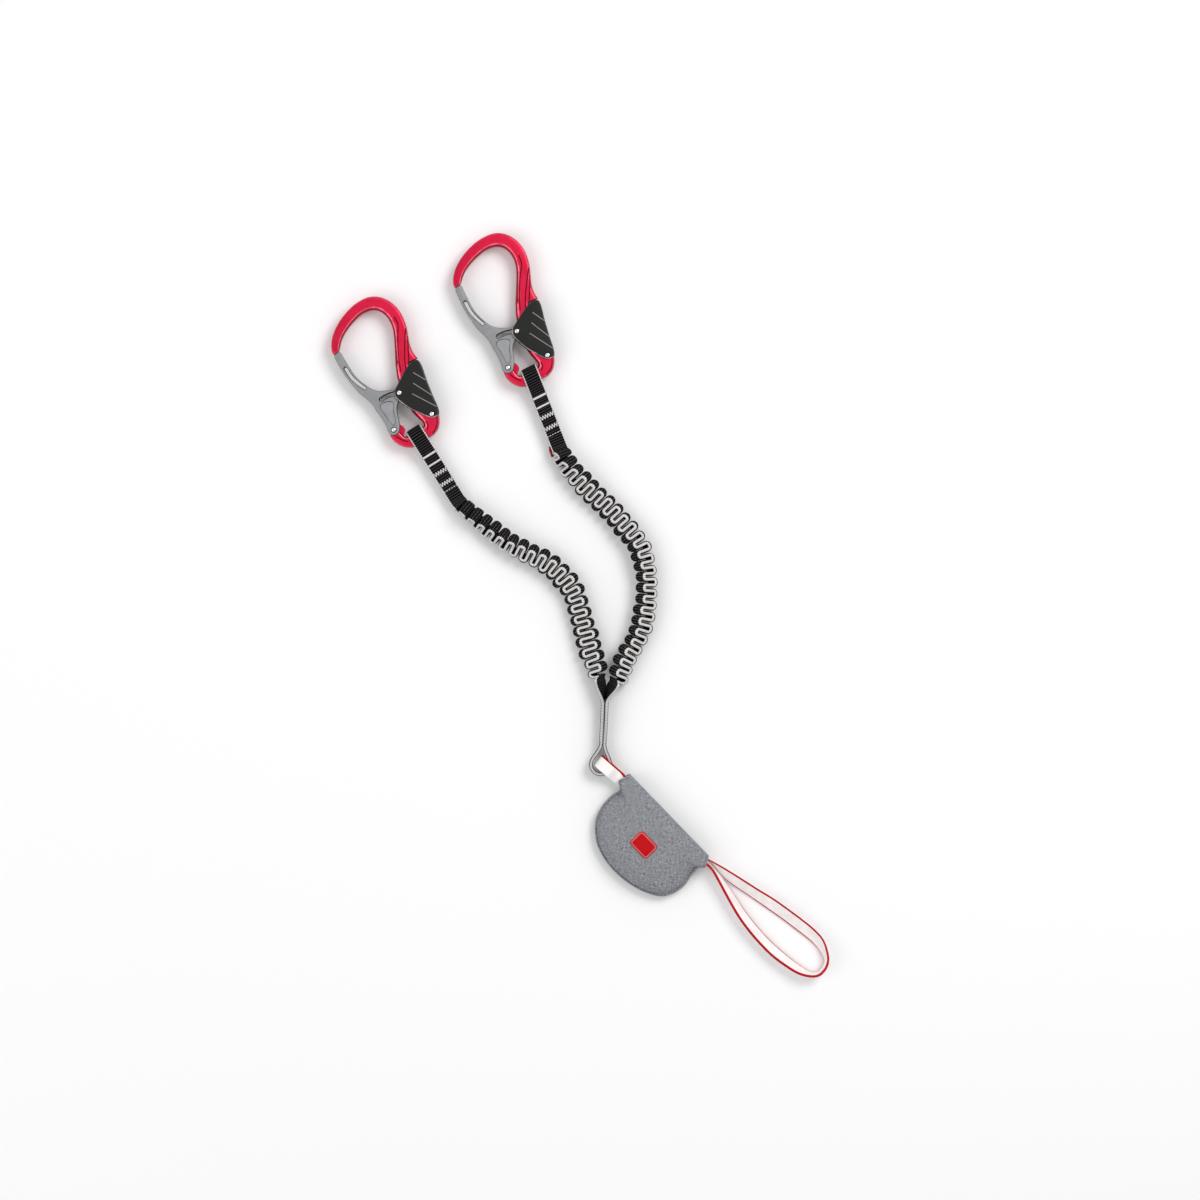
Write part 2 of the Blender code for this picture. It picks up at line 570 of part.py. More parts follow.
def gate_mesh(cutters):
    origin = Vector((0, 0, 0))
    outer = [on_carabiner(p) for p in GATE_OUTER_SHARES]
    inner = [on_carabiner(p) for p in GATE_INNER_SHARES]
    tip = arc(origin, GATE_TIP_RADIUS, math.radians(182), math.radians(358), 2 * ARC_STEPS)
    half = GATE_THICKNESS / 2
    gate = plate("gate_body", [outer + tip + inner], -half, half, cutters)
    bevel(gate, GATE_EDGE)

    reach = FORK_OUTER_SHARE * CARABINER_UNIT
    fork = [origin] + arc(origin, reach, FORK_START_TURN, FORK_END_TURN, 3 * ARC_STEPS)
    axis = heading(GATE_SPRING_TURN)
    side = side_of(axis) * (GATE_SPRING_RADIUS + GATE_SPRING_WIRE + RUNNING_GAP)
    spring_end = axis * (GATE_SPRING_END_SHARE * CARABINER_UNIT)
    channel = [side, -side, spring_end - side, spring_end + side]
    through = half + CUT_OVERRUN
    width = FORK_WIDTH / 2
    top_out, top_in = outer[0], inner[-1]
    along = (top_in - top_out).normalized()
    up = side_of(along)
    over = along * CUT_OVERRUN
    key = [top_out - over - up * KEY_SLOT_DEPTH, top_in + over - up * KEY_SLOT_DEPTH,
           top_in + over + up * CUT_OVERRUN, top_out - over + up * CUT_OVERRUN]
    key_half = TENON_THICKNESS / 2 + KEY_SLOT_CLEARANCE
    upper = track(smooth_through([on_carabiner(p) for p in GATE_UPPER_SLOT_SHARES], 2), GATE_SLOT_WIDTH)
    cam = track([pin_in_gate(LEVER_SWING * i / ARC_STEPS) for i in range(ARC_STEPS + 1)], CAM_SLOT_WIDTH)
    panel = [on_carabiner(p) for p in GATE_PANEL_SHARES]
    floor = half - GATE_PANEL_DEPTH
    tools = [
        plate("fork", [fork], -width, width, cutters),
        cylinder("knuckle", GATE_TIP_RADIUS + FORK_GAP, -width, width, origin, cutters),
        plate("channel", [channel], -width, width, cutters),
        plate("key", [key], -key_half, key_half, cutters),
        plate("upper_slot", [upper], -through, through, cutters),
        plate("cam_slot", [cam], -through, through, cutters),
        plate("panel_top", [panel], floor, through, cutters),
        plate("panel_bottom", [panel], -through, -floor, cutters),
        cylinder("pivot", PIN_HOLE_RADIUS, -through, through, origin, cutters)]
    combine(gate, tools, "DIFFERENCE")
    return baked_mesh(gate, "gate")


def lever_mesh(cutters):
    half = LEVER_THICKNESS / 2
    lever = plate("lever_body", [[on_carabiner(p) for p in LEVER_OUTLINE_SHARES]], -half, half, cutters)
    bevel(lever, LEVER_EDGE)
    ridges = []
    for i, ridge in enumerate(RIDGE_SHARES):
        outline = track([on_carabiner(p) for p in ridge], RIDGE_WIDTH)
        ridges.append(plate("ridge_%d" % i, [outline], -half - RIDGE_HEIGHT, half + RIDGE_HEIGHT, cutters))
    combine(lever, ridges, "UNION")
    cavity = plate("cavity", [[on_carabiner(p) for p in LEVER_CAVITY_SHARES]],
                   -LEVER_CAVITY / 2, LEVER_CAVITY / 2, cutters)
    through = half + CUT_OVERRUN
    holes = [cylinder("hole_%d" % i, PIN_HOLE_RADIUS, -through, through, on_carabiner(share), cutters)
             for i, share in enumerate((LEVER_PIVOT_SHARE, LOCK_PIN_SHARE))]
    combine(lever, [cavity, *holes], "DIFFERENCE")
    mesh = baked_mesh(lever, "palm_lever")
    mesh.transform(Matrix.Translation(-on_carabiner(LEVER_PIVOT_SHARE)))
    return mesh


def rivet_mesh(name, held_thickness, cutters):
    # A turned rivet with a low domed head on each side of what it holds.
    seat = held_thickness / 2 + RUNNING_GAP
    top = seat + RIVET_HEAD_HEIGHT
    half_profile = [(0, top), (RIVET_HEAD_RADIUS * 0.7, top - RIVET_HEAD_HEIGHT * 0.15),
                    (RIVET_HEAD_RADIUS, seat + RIVET_HEAD_HEIGHT * 0.4), (RIVET_HEAD_RADIUS, seat),
                    (RIVET_RADIUS, seat)]
    profile = half_profile + [(r, -z) for r, z in reversed(half_profile)]
    mesh = bpy.data.meshes.new(name)
    mesh.from_pydata([(r, 0, z) for r, z in profile], [(i, i + 1) for i in range(len(profile) - 1)], [])
    obj = link_object(name, mesh, cutters)
    screw = obj.modifiers.new("turn", "SCREW")
    screw.steps = RIVET_SIDES
    screw.render_steps = RIVET_SIDES
    screw.use_merge_vertices = True
    screw.merge_threshold = 0.00001
    return baked_mesh(obj, name)


def gate_spring_mesh(cutters):
    # A small coil in the gate's channel, between the frame's tang and the channel's end.
    axis = heading(GATE_SPRING_TURN)
    side = side_of(axis)
    tang = TANG_REACH + RUNNING_GAP + GATE_SPRING_WIRE
    end = GATE_SPRING_END_SHARE * CARABINER_UNIT - RUNNING_GAP - GATE_SPRING_WIRE
    count = GATE_SPRING_TURNS * SPRING_POINTS_PER_TURN
    curve = bpy.data.curves.new("gate_spring", "CURVE")
    curve.dimensions = "3D"
    curve.bevel_depth = GATE_SPRING_WIRE
    curve.bevel_resolution = 1
    curve.use_fill_caps = True
    spline = curve.splines.new("POLY")
    spline.points.add(count)
    places = []
    for i in range(count + 1):
        angle = 2 * math.pi * i / SPRING_POINTS_PER_TURN
        places.append(axis * (tang + (end - tang) * i / count)
                      + (side * math.cos(angle) + UP * math.sin(angle)) * GATE_SPRING_RADIUS)
        spline.points[i].co = (*places[-1], 1)
    report_gap("gate spring", places, 2 * GATE_SPRING_WIRE, SPRING_POINTS_PER_TURN // 2)
    return baked_mesh(curve_to_mesh("gate_spring", curve, cutters), "gate_spring")


def lever_spring_mesh(cutters):
    # A leaf that stands on the frame's outer edge and bears on the lever's back wall.
    points = smooth_through([on_carabiner(p) for p in LEVER_SPRING_SHARES], 3)
    rings = []
    for i, point in enumerate(points):
        ahead = points[min(i + 1, len(points) - 1)] - points[max(i - 1, 0)]
        rings.append(strap_ring(point, UP, side_of(ahead), LEVER_SPRING_WIDTH, LEVER_SPRING_THICKNESS))
    return baked_mesh(loft("lever_spring", rings, cutters), "lever_spring")


def report_gap(name, places, thickness, skip):
    # Prints the least gap of a wound or ruffled form to itself, measured on its points.
    least = min((a - b).length for i, a in enumerate(places) for b in places[i + skip:])
    print("least gap in %s: %.2f mm" % (name, (least - thickness) * 1000))


def end_loop_mesh(skew, cutters):
    # The sewn end: an eye round the bar, then two plies. Made on its side, x along the webbing.
    outer = EYE_RADIUS + TAPE_THICKNESS
    neck = math.acos((outer - TAPE_THICKNESS) / EYE_NECK)
    edge = arc(Vector((0, 0, 0)), outer, neck, 2 * math.pi - neck, 3 * ARC_STEPS)
    neck_out = Vector((EYE_NECK, TAPE_THICKNESS, 0))
    tail_out = Vector((SEWN_LENGTH, TAPE_THICKNESS, 0))
    flip = Matrix.Scale(-1, 3, Vector((0, 1, 0)))
    outline = edge + [flip @ neck_out, flip @ tail_out, tail_out, neck_out]
    inner_neck = math.acos(EYE_RADIUS / EYE_NECK)
    hole = arc(Vector((0, 0, 0)), EYE_RADIUS, inner_neck, 2 * math.pi - inner_neck, 3 * ARC_STEPS)
    hole.append(Vector((EYE_NECK - TAPE_THICKNESS, 0, 0)))
    obj = plate("end_loop", [outline, hole], -TAPE_WIDTH / 2, TAPE_WIDTH / 2, cutters)
    obj.data.transform(Matrix.Rotation(math.pi / 2, 4, "X"))
    lean = Matrix.Identity(4)
    lean[1][0] = math.tan(skew)
    obj.data.transform(lean)
    return baked_mesh(obj, "end_loop")


def ruffle_path(length, last_side):
    # The ruffle in the plane of its waves: (distance, reach, slope along, slope across) stations.
    waves = max(round((length - 2 * RUFFLE_LEAD) / RUFFLE_PITCH * 2) - 1, 1)
    radius = (length - 2 * RUFFLE_LEAD) / (2 * waves + 2)
    first_side = last_side if waves % 2 else -last_side
    stations = [(0, 0, 1, 0)]
    for angle in (0, 45, 90):
        a = math.radians(angle)
        stations.append((RUFFLE_LEAD + radius * math.sin(a), first_side * radius * (1 - math.cos(a)),
                         math.cos(a), first_side * math.sin(a)))
    distance = RUFFLE_LEAD + radius
    side = first_side
    for wave in range(waves):
        for angle in (0, 45, 90, 135, 180):
            a = math.radians(angle)
            stations.append((distance + radius * (1 - math.cos(a)),
                             side * (RUFFLE_REACH - radius + radius * math.sin(a)),
                             math.sin(a), side * math.cos(a)))
        distance += 2 * radius
        side = -side
    for angle in (90, 45, 0):
        a = math.radians(angle)
        stations.append((distance + radius * (1 - math.sin(a)), -side * radius * (1 - math.cos(a)),
                         math.cos(a), side * math.sin(a)))
    stations.append((length, 0, 1, 0))
    return stations


def ruffle_support(roll):
    # Half the height of the ruffled tape when it leans by this much.
    lean, stand = abs(math.sin(roll)), abs(math.cos(roll))
    middle = (RUFFLE_REACH + TAPE_THICKNESS / 2) * lean
    edge = (RUFFLE_EDGE_REACH + RUFFLE_EDGE_THICKNESS / 2) * lean + TAPE_WIDTH / 2 * stand
    return max(middle, edge)


def elastic_arm(name, route, rolls, last_side, cutters):
    # Webbing drawn into even ruffles by the elastic woven through its middle.
    start_lift = MID_HEIGHT - ruffle_support(math.radians(rolls[0][1])) - SOFT_FLOOR_GAP
    rings, places = [], []
    for distance, reach, slope_along, slope_across in ruffle_path(route.length, last_side):
        share = distance / route.length
        roll = math.radians(read_table(rolls, share))
        along = route.direction(distance)
        side = side_of(along)
        wave = side * math.cos(roll) + UP * math.sin(roll)
        width = UP * math.cos(roll) - side * math.sin(roll)
        lift = start_lift * (1 - smooth_step(share / rolls[1][0]))
        height = ruffle_support(roll) + SOFT_FLOOR_GAP + lift
        centre = route.place(distance) + UP * height
        face = along * -slope_across + wave * slope_along
        middle = centre + wave * reach
        edge = centre + wave * (reach * RUFFLE_EDGE_REACH / RUFFLE_REACH)
        half_width = width * (TAPE_WIDTH / 2)
        thick = face * (TAPE_THICKNESS / 2)
        thin = face * (RUFFLE_EDGE_THICKNESS / 2)
        rings.append([middle + thick, edge + half_width + thin, edge + half_width - thin,
                      middle - thick, edge - half_width - thin, edge - half_width + thin])
        places.append(middle)
    report_gap(name, places, TAPE_THICKNESS, 5)
    return loft(name, rings, cutters)


def stem_rings(left_start, right_start):
    # One tape: down the left ply, round the ring, and up the right ply.
    spread = (TAPE_THICKNESS + STEM_PLY_GAP) / 2
    middle = [on_table(p) for p in STEM_MIDDLE_PX]
    side = side_of(middle[-1] - middle[0]) * spread
    ring = arc(on_table(RING_CENTRE_PX), RING_RADIUS, math.pi - RING_OPEN_TURN,
               2 * math.pi + RING_OPEN_TURN, RING_POINTS)
    left = [left_start] + [on_table(p) for p in STEM_LEFT_PX] + [p - side for p in middle]
    right = [right_start] + [on_table(p) for p in STEM_RIGHT_PX] + [p + side for p in middle]
    points = smooth_through(left + ring + list(reversed(right)), 3)
    arm_height = ruffle_support(0) + SOFT_FLOOR_GAP
    narrow_from, narrow_to = middle[1].y, middle[-1].y
    rings = []
    for i, point in enumerate(points):
        share = smooth_step((narrow_from - point.y) / (narrow_from - narrow_to))
        width = TAPE_WIDTH + (STEM_RING_WIDTH - TAPE_WIDTH) * share
        height = arm_height + (LINK_HEIGHT - arm_height) * share
        ahead = points[min(i + 1, len(points) - 1)] - points[max(i - 1, 0)]
        rings.append(strap_ring(point + UP * height, UP, side_of(ahead), width, TAPE_THICKNESS))
    return rings


def link_rings():
    # The sling's link end: it lies flat round the ring and rolls on edge into the pouch.
    route = Route([on_table(p) for p in LINK_PX])
    mouth = route.length * LINK_MOUTH_SHARE
    narrow = SLING_THICKNESS + LINK_PLY_GAP

    def station(distance, ply):
        share = smooth_step((distance - LINK_STRAIGHT) / (mouth - LINK_STRAIGHT))
        roll = LINK_MOUTH_ROLL * share
        if distance > mouth:
            rest = (distance - mouth) / (route.length - mouth)
            roll = LINK_MOUTH_ROLL + (math.pi / 2 - LINK_MOUTH_ROLL) * rest
        along = route.direction(distance)
        right = side_of(along)
        width = right * math.cos(roll) + UP * math.sin(roll)
        face = UP * math.cos(roll) - right * math.sin(roll)
        spread = LINK_SPREAD + (narrow - LINK_SPREAD) * share
        height = LINK_HEIGHT + (LINK_POUCH_HEIGHT - LINK_HEIGHT) * share
        centre = route.place(distance) + UP * height + face * (ply * spread / 2)
        return strap_ring(centre, width, face * ply, LINK_WIDTH, SLING_THICKNESS)

    distances = [route.length * i / LINK_STEPS for i in range(LINK_STEPS, 0, -1)]
    lower = [station(distance, -1) for distance in distances]
    upper = [station(distance, 1) for distance in reversed(distances)]
    start = on_table(LINK_PX[0]) + UP * LINK_HEIGHT
    along = route.direction(0)
    fold = []
    for i in range(LINK_FOLD_POINTS + 1):
        angle = math.pi * i / LINK_FOLD_POINTS - math.pi / 2
        out = UP * math.sin(angle) - along * math.cos(angle)
        fold.append(strap_ring(start + out * (LINK_SPREAD / 2), side_of(along), out,
                               LINK_WIDTH, SLING_THICKNESS))
    return lower + fold + upper


def tie_in_rings():
    # The harness loop: its section leans between a top and a bottom edge.
    tops = [on_table(p) for p in TIE_IN_TOP_PX]
    bottoms = [on_table(p) for p in TIE_IN_BOTTOM_PX]
    last = len(tops) - 1
    pairs = []
    for i, (top, bottom) in enumerate(zip(tops, bottoms)):
        outside = (min(i, last - i) - TIE_IN_MOUTH_STATION) / TIE_IN_DROP_STATIONS
        low = TIE_IN_MOUTH_LIFT + (TIE_IN_LIFT - TIE_IN_MOUTH_LIFT) * smooth_step(outside)
        across = (top - bottom).length
        rise = math.sqrt(max(TIE_IN_WIDTH ** 2 - across ** 2, (TIE_IN_WIDTH / 3) ** 2))
        pairs.append((top + UP * (low + rise), bottom + UP * low))
    top_line = smooth_through([p[0] for p in pairs], 2)
    bottom_line = smooth_through([p[1] for p in pairs], 2)
    rings = []
    for i, (top, bottom) in enumerate(zip(top_line, bottom_line)):
        ahead = (top_line[min(i + 1, len(top_line) - 1)] + bottom_line[min(i + 1, len(top_line) - 1)]
                 - top_line[max(i - 1, 0)] - bottom_line[max(i - 1, 0)])
        width = (top - bottom).normalized()
        face = width.cross(ahead).normalized()
        rings.append(strap_ring((top + bottom) / 2, width, face, TIE_IN_WIDTH, SLING_THICKNESS))
    return rings


def pouch_columns():
    # The outline with the outer heights of the upper and the lower sheet at each point.
    seam_top = SEAM_HEIGHT + STRIP_THICKNESS / 2 + SEAM_GAP + POUCH_WALL
    seam_bottom = SEAM_HEIGHT - STRIP_THICKNESS / 2 - SEAM_GAP - POUCH_WALL
    columns = []
    for i in range(POUCH_FOLD_COLUMNS + 1):
        share = POUCH_SHARE_COUNT * (1 - i / POUCH_FOLD_COLUMNS)
        columns.append((on_pouch((share, 0)), POUCH_FOLD_TOP, POUCH_FOLD_BOTTOM))
    near, far = POUCH_EAR_SHARES, POUCH_FAR_EAR_SHARES
    half_top = (POUCH_EAR_TOP + seam_top) / 2
    half_bottom = (POUCH_EAR_BOTTOM + seam_bottom) / 2
    columns.append((on_pouch(near[0]), POUCH_EAR_TOP, POUCH_EAR_BOTTOM))
    columns.append((on_pouch(near[1]), half_top, half_bottom))
    columns += [(on_pouch(share), seam_top, seam_bottom) for share in POUCH_RIM_SHARES]
    columns.append((on_pouch(far[0]), half_top, half_bottom))
    columns.append((on_pouch(far[1]), POUCH_EAR_TOP, POUCH_EAR_BOTTOM))
    return columns


def pouch_mesh(cutters):
    # One sheet folded along the fold; the upper and the lower half meet at the seam.
    columns = pouch_columns()
    centre = on_pouch(POUCH_CENTRE_SHARE)
    count = len(columns)
    bm = bmesh.new()
    sheets = []
    for sheet_height, index in ((POUCH_HEIGHT, 1), (0.0, 2)):
        loops = []
        for share, rise in POUCH_RISE_SHARES:
            loop = []
            for column in columns:
                place = centre + (column[0] - centre) * share
                edge = column[index]
                loop.append(bm.verts.new(place + UP * (edge + (sheet_height - edge) * rise)))
            loops.append(loop)
        middle = bm.verts.new(centre + UP * sheet_height)
        for outer, inner in zip(loops, loops[1:]):
            for i in range(count):
                j = (i + 1) % count
                bm.faces.new((outer[i], outer[j], inner[j], inner[i]))
        for i in range(count):
            bm.faces.new((loops[-1][i], loops[-1][(i + 1) % count], middle))
        sheets.append(loops[0])
    upper, lower = sheets
    for i in range(POUCH_FOLD_COLUMNS):
        bm.faces.new((upper[i], upper[i + 1], lower[i + 1], lower[i]))
    bmesh.ops.recalc_face_normals(bm, faces=bm.faces)
    mesh = bpy.data.meshes.new("pouch_cover")
    bm.to_mesh(mesh)
    bm.free()
    top_face = max(mesh.polygons, key=lambda face: face.center.z)
    if top_face.normal.z < 0:
        mesh.flip_normals()
    obj = link_object("pouch_cover", mesh, cutters)
    solidify = obj.modifiers.new("wall", "SOLIDIFY")
    solidify.thickness = POUCH_WALL
    solidify.offset = -1
    solidify.use_even_offset = True
    return baked_mesh(obj, "pouch_cover")


def strip_mesh(cutters):
    # The closure strip between the two halves, along the curved seam.
    centre = on_pouch(POUCH_CENTRE_SHARE)
    rings = []
    for share in POUCH_RIM_SHARES:
        edge = on_pouch(share) - centre
        outer = centre + edge * STRIP_OUTER_SHARE
        inner = centre + edge * STRIP_INNER_SHARE
        middle = (outer + inner) / 2 + UP * SEAM_HEIGHT
        width = outer - inner
        rings.append(strap_ring(middle, width.normalized(), UP, width.length, STRIP_THICKNESS))
    return baked_mesh(loft("closure_strip", rings, cutters), "closure_strip")


def pack_mesh(cutters):
    # The tear webbing, folded to and fro on edge.
    start = on_pouch(PACK_START_SHARE)
    end_x = PACK_END_SHARE * POUCH_UNIT
    radius = PACK_PITCH / 2
    path = []
    for run in range(PACK_RUNS):
        y = start.y - run * PACK_PITCH
        ends = (start.x + radius, end_x - radius)
        if run % 2:
            ends = (ends[1], ends[0])
        forward = 1 if ends[1] > ends[0] else -1
        path.append(Vector((ends[0], y, 0)))
        if run < PACK_RUNS - 1:
            turn = Vector((ends[1], y - radius, 0))
            for step in range(5):
                angle = math.pi / 2 - math.pi * step / 4
                path.append(turn + Vector((forward * math.cos(angle), math.sin(angle), 0)) * radius)
        else:
            path.append(Vector((ends[1], y, 0)))
    rings = []
    height = PACK_BOTTOM + PACK_WIDTH / 2
    for i, point in enumerate(path):
        ahead = path[min(i + 1, len(path) - 1)] - path[max(i - 1, 0)]
        rings.append(strap_ring(point + UP * height, UP, side_of(ahead), PACK_WIDTH, PACK_THICKNESS))
    report_gap("tear webbing pack", path, PACK_THICKNESS, 6)
    return baked_mesh(loft("tear_webbing_pack", rings, cutters), "tear_webbing_pack")


def patch_mesh(cutters):
    x, y = PATCH_LENGTH / 2 - PATCH_CORNER, PATCH_WIDTH / 2 - PATCH_CORNER
    outline = []
    for corner, turn in (((x, y), 0), ((-x, y), 90), ((-x, -y), 180), ((x, -y), 270)):
        start = math.radians(turn)
        outline += arc(Vector((*corner, 0)), PATCH_CORNER, start, start + math.pi / 2, ARC_STEPS)
    low = POUCH_HEIGHT + SEAM_GAP
    obj = plate("patch", [outline], low, low + PATCH_THICKNESS, cutters)
    mesh = baked_mesh(obj, "patch")
    mesh.transform(Matrix.Translation(on_pouch(PATCH_CENTRE_SHARE)))
    return mesh


def world_solid(obj, name, material, parent, collection):
    # Keeps a solid drawn on the table where it is, under an empty that stands elsewhere.
    mesh = baked_mesh(obj, name)
    bpy.context.view_layer.update()
    mesh.transform(parent.matrix_world.inverted())
    return add_node(name, mesh, material, parent, collection)


# The tang's round end stands this far from the gate pivot.
TANG_REACH = on_carabiner((0, 4.2)).length


def build():
    clear_scene()
    pieces = make_collection("via_ferrata_lanyard")
    cutters = make_collection("cutters")

    shared = {
        "carabiner_frame": (frame_mesh(cutters), RED_ANODISED),
        "gate": (gate_mesh(cutters), GATE_GREY),
        "palm_lever": (lever_mesh(cutters), LEVER_BLACK),
        "gate_pivot_rivet": (rivet_mesh("gate_pivot_rivet", GATE_THICKNESS, cutters), BRIGHT_STEEL),
        "lever_pivot_rivet": (rivet_mesh("lever_pivot_rivet", LEVER_THICKNESS, cutters), BRIGHT_STEEL),
        "lock_pin": (rivet_mesh("lock_pin", LEVER_THICKNESS, cutters), BRIGHT_STEEL),
        "gate_spring": (gate_spring_mesh(cutters), BRIGHT_STEEL),
        "lever_spring": (lever_spring_mesh(cutters), BRIGHT_STEEL)}

    hinge = on_table(LINK_HINGE_PX)
    root = add_empty("lanyard", (0, 0, 0), 0, None, pieces)
    yoke = add_empty("yoke_hinge", hinge, 0, root, pieces)
    pouch = add_empty("pouch_fold", on_table(POUCH_CORNER_PX), POUCH_TURN, root, pieces)

    arm_ends = {}
    for side, pivot_px, turn, sewn_turn, arm_px, rolls, last_side in (
            ("left", LEFT_PIVOT_PX, LEFT_CARABINER_TURN, LEFT_SEWN_TURN, LEFT_ARM_PX, LEFT_ROLL_SHARES, -1),
            ("right", RIGHT_PIVOT_PX, RIGHT_CARABINER_TURN, RIGHT_SEWN_TURN, RIGHT_ARM_PX,
             RIGHT_ROLL_SHARES, 1)):
        pivot = on_table(pivot_px)
        bar = pivot + Matrix.Rotation(turn, 3, "Z") @ on_carabiner(BAR_CENTRE_SHARE)
        out_turn = turn + BAR_TURN - math.pi / 2
        skew = sewn_turn - out_turn

        end = add_empty(side + "_bar", bar + UP * MID_HEIGHT - hinge, out_turn, yoke, pieces)
        webbing = make_material(side + "_end_loop", BLACK_WEBBING)
        add_node(side + "_end_loop", end_loop_mesh(skew, cutters), webbing, end, pieces)

        # The carabiner swings on its bar; everything in it is placed from its gate pivot.
        carabiner = add_empty(side + "_carabiner", (0, 0, 0), math.pi / 2 - BAR_TURN, end, pieces)
        gate_pivot = -on_carabiner(BAR_CENTRE_SHARE)
        lever_at = gate_pivot + on_carabiner(LEVER_PIVOT_SHARE)
        lever_pivot = add_empty(side + "_lever_pivot", lever_at, 0, carabiner, pieces)
        pin_at = on_carabiner(LOCK_PIN_SHARE) - on_carabiner(LEVER_PIVOT_SHARE)
        on_lever = {"palm_lever": (0, 0, 0), "lever_pivot_rivet": (0, 0, 0), "lock_pin": pin_at}
        for name, (mesh, finish) in shared.items():
            own = mesh.copy() if mesh.users else mesh
            parent = lever_pivot if name in on_lever else carabiner
            obj = add_node(side + "_" + name, own, make_material(side + "_" + name, finish), parent, pieces)
            obj.location = on_lever.get(name, gate_pivot)

        clear = RUNNING_GAP + TAPE_WIDTH / 2 * abs(math.tan(skew))
        sewn_end = bar + heading(sewn_turn) * (SEWN_LENGTH / math.cos(skew) + clear)
        lead = heading(sewn_turn) * RUFFLE_LEAD
        route = Route([sewn_end, sewn_end + lead / 2, sewn_end + lead] + [on_table(p) for p in arm_px])
        arm = elastic_arm(side + "_elastic_arm", route, rolls, last_side, cutters)
        arm_material = make_material(side + "_elastic_arm", BLACK_WEBBING)
        world_solid(arm, side + "_elastic_arm", arm_material, yoke, pieces)
        arm_ends[side] = route.place(route.length) + route.direction(route.length) * 2 * RUNNING_GAP
        print("%s arm route %.1f mm" % (side, route.length * 1000))

    stem = loft("stem", stem_rings(arm_ends["left"], arm_ends["right"]), cutters)
    world_solid(stem, "stem", make_material("stem", GREY_WEBBING), yoke, pieces)
    link = loft("link_loop", link_rings(), cutters)
    world_solid(link, "link_loop", make_material("link_loop", WHITE_SLING), root, pieces)
    tie_in = loft("tie_in_loop", tie_in_rings(), cutters)
    world_solid(tie_in, "tie_in_loop", make_material("tie_in_loop", WHITE_SLING), root, pieces)

    for name, mesh, finish in (
            ("pouch_cover", pouch_mesh(cutters), MELANGE_GREY),
            ("closure_strip", strip_mesh(cutters), DARK_TAPE),
            ("tear_webbing_pack", pack_mesh(cutters), WHITE_SLING),
            ("patch", patch_mesh(cutters), PATCH_RED)):
        add_node(name, mesh, make_material(name, finish), pouch, pieces)
    bpy.context.view_layer.update()


build()
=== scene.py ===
# The looks of a via ferrata lanyard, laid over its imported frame. Metres, +Z up.
import math

import bmesh
import bpy
from mathutils import Matrix, Vector, kdtree, noise


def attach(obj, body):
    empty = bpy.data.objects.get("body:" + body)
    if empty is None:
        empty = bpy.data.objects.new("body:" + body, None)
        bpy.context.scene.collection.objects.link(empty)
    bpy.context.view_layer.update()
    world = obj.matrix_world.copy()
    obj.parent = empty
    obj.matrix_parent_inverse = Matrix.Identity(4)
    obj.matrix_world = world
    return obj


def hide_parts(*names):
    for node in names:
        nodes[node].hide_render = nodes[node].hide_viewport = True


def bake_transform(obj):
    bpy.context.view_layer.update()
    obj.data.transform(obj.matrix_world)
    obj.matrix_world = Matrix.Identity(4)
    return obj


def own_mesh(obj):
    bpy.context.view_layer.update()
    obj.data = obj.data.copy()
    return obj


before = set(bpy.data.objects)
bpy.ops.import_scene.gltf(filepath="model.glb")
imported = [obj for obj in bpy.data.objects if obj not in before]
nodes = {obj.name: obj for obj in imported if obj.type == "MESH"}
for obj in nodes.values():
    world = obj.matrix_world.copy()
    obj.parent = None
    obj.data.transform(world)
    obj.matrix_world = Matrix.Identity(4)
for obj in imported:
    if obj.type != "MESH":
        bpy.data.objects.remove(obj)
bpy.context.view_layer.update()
print("frame loaded:", len(nodes), "nodes")

# where things lie; lists of places inside a carabiner are in mm from its gate pivot
layout = {
    "length": 0.6258,  # right carabiner's top to the tie-in loop's tip
    "rows": 745,  # the same stretch in picture rows
    "centre": (580.46, 605.38),  # picture point at the origin
    "left": {"bar": (-0.13557, 0.14094, 0.00903), "turn": 14.1, "sewn": -58.0},
    "right": {"bar": (-0.04067, 0.19114, 0.00903), "turn": 9.0, "sewn": -68.5},
    "barSlant": 18.0,  # degrees, inside the carabiner
    "barCentre": (18.5, -10.7),
}
perPx = layout["length"] / layout["rows"]
mm = 0.001
up = Vector((0, 0, 1))


def onTable(px, z=0.0):
    return Vector(((px[0] - layout["centre"][0]) * perPx, (layout["centre"][1] - px[1]) * perPx, z))


def inMm(pairs):
    return [Vector((x * mm, y * mm, 0)) for x, y in pairs]


def heading(degrees):
    return Vector((math.cos(math.radians(degrees)), math.sin(math.radians(degrees)), 0))


def leftOf(direction):
    return Vector((-direction.y, direction.x, 0)).normalized()


def ease(t):
    t = min(max(t, 0.0), 1.0)
    return t * t * (3 - 2 * t)


def readTable(table, share):
    for (start, low), (end, high) in zip(table, table[1:]):
        if share <= end:
            return low + (high - low) * ease((share - start) / (end - start))
    return table[-1][1]


def between(a, b, ta, tb, t):
    return a * ((tb - t) / (tb - ta)) + b * ((t - ta) / (tb - ta))


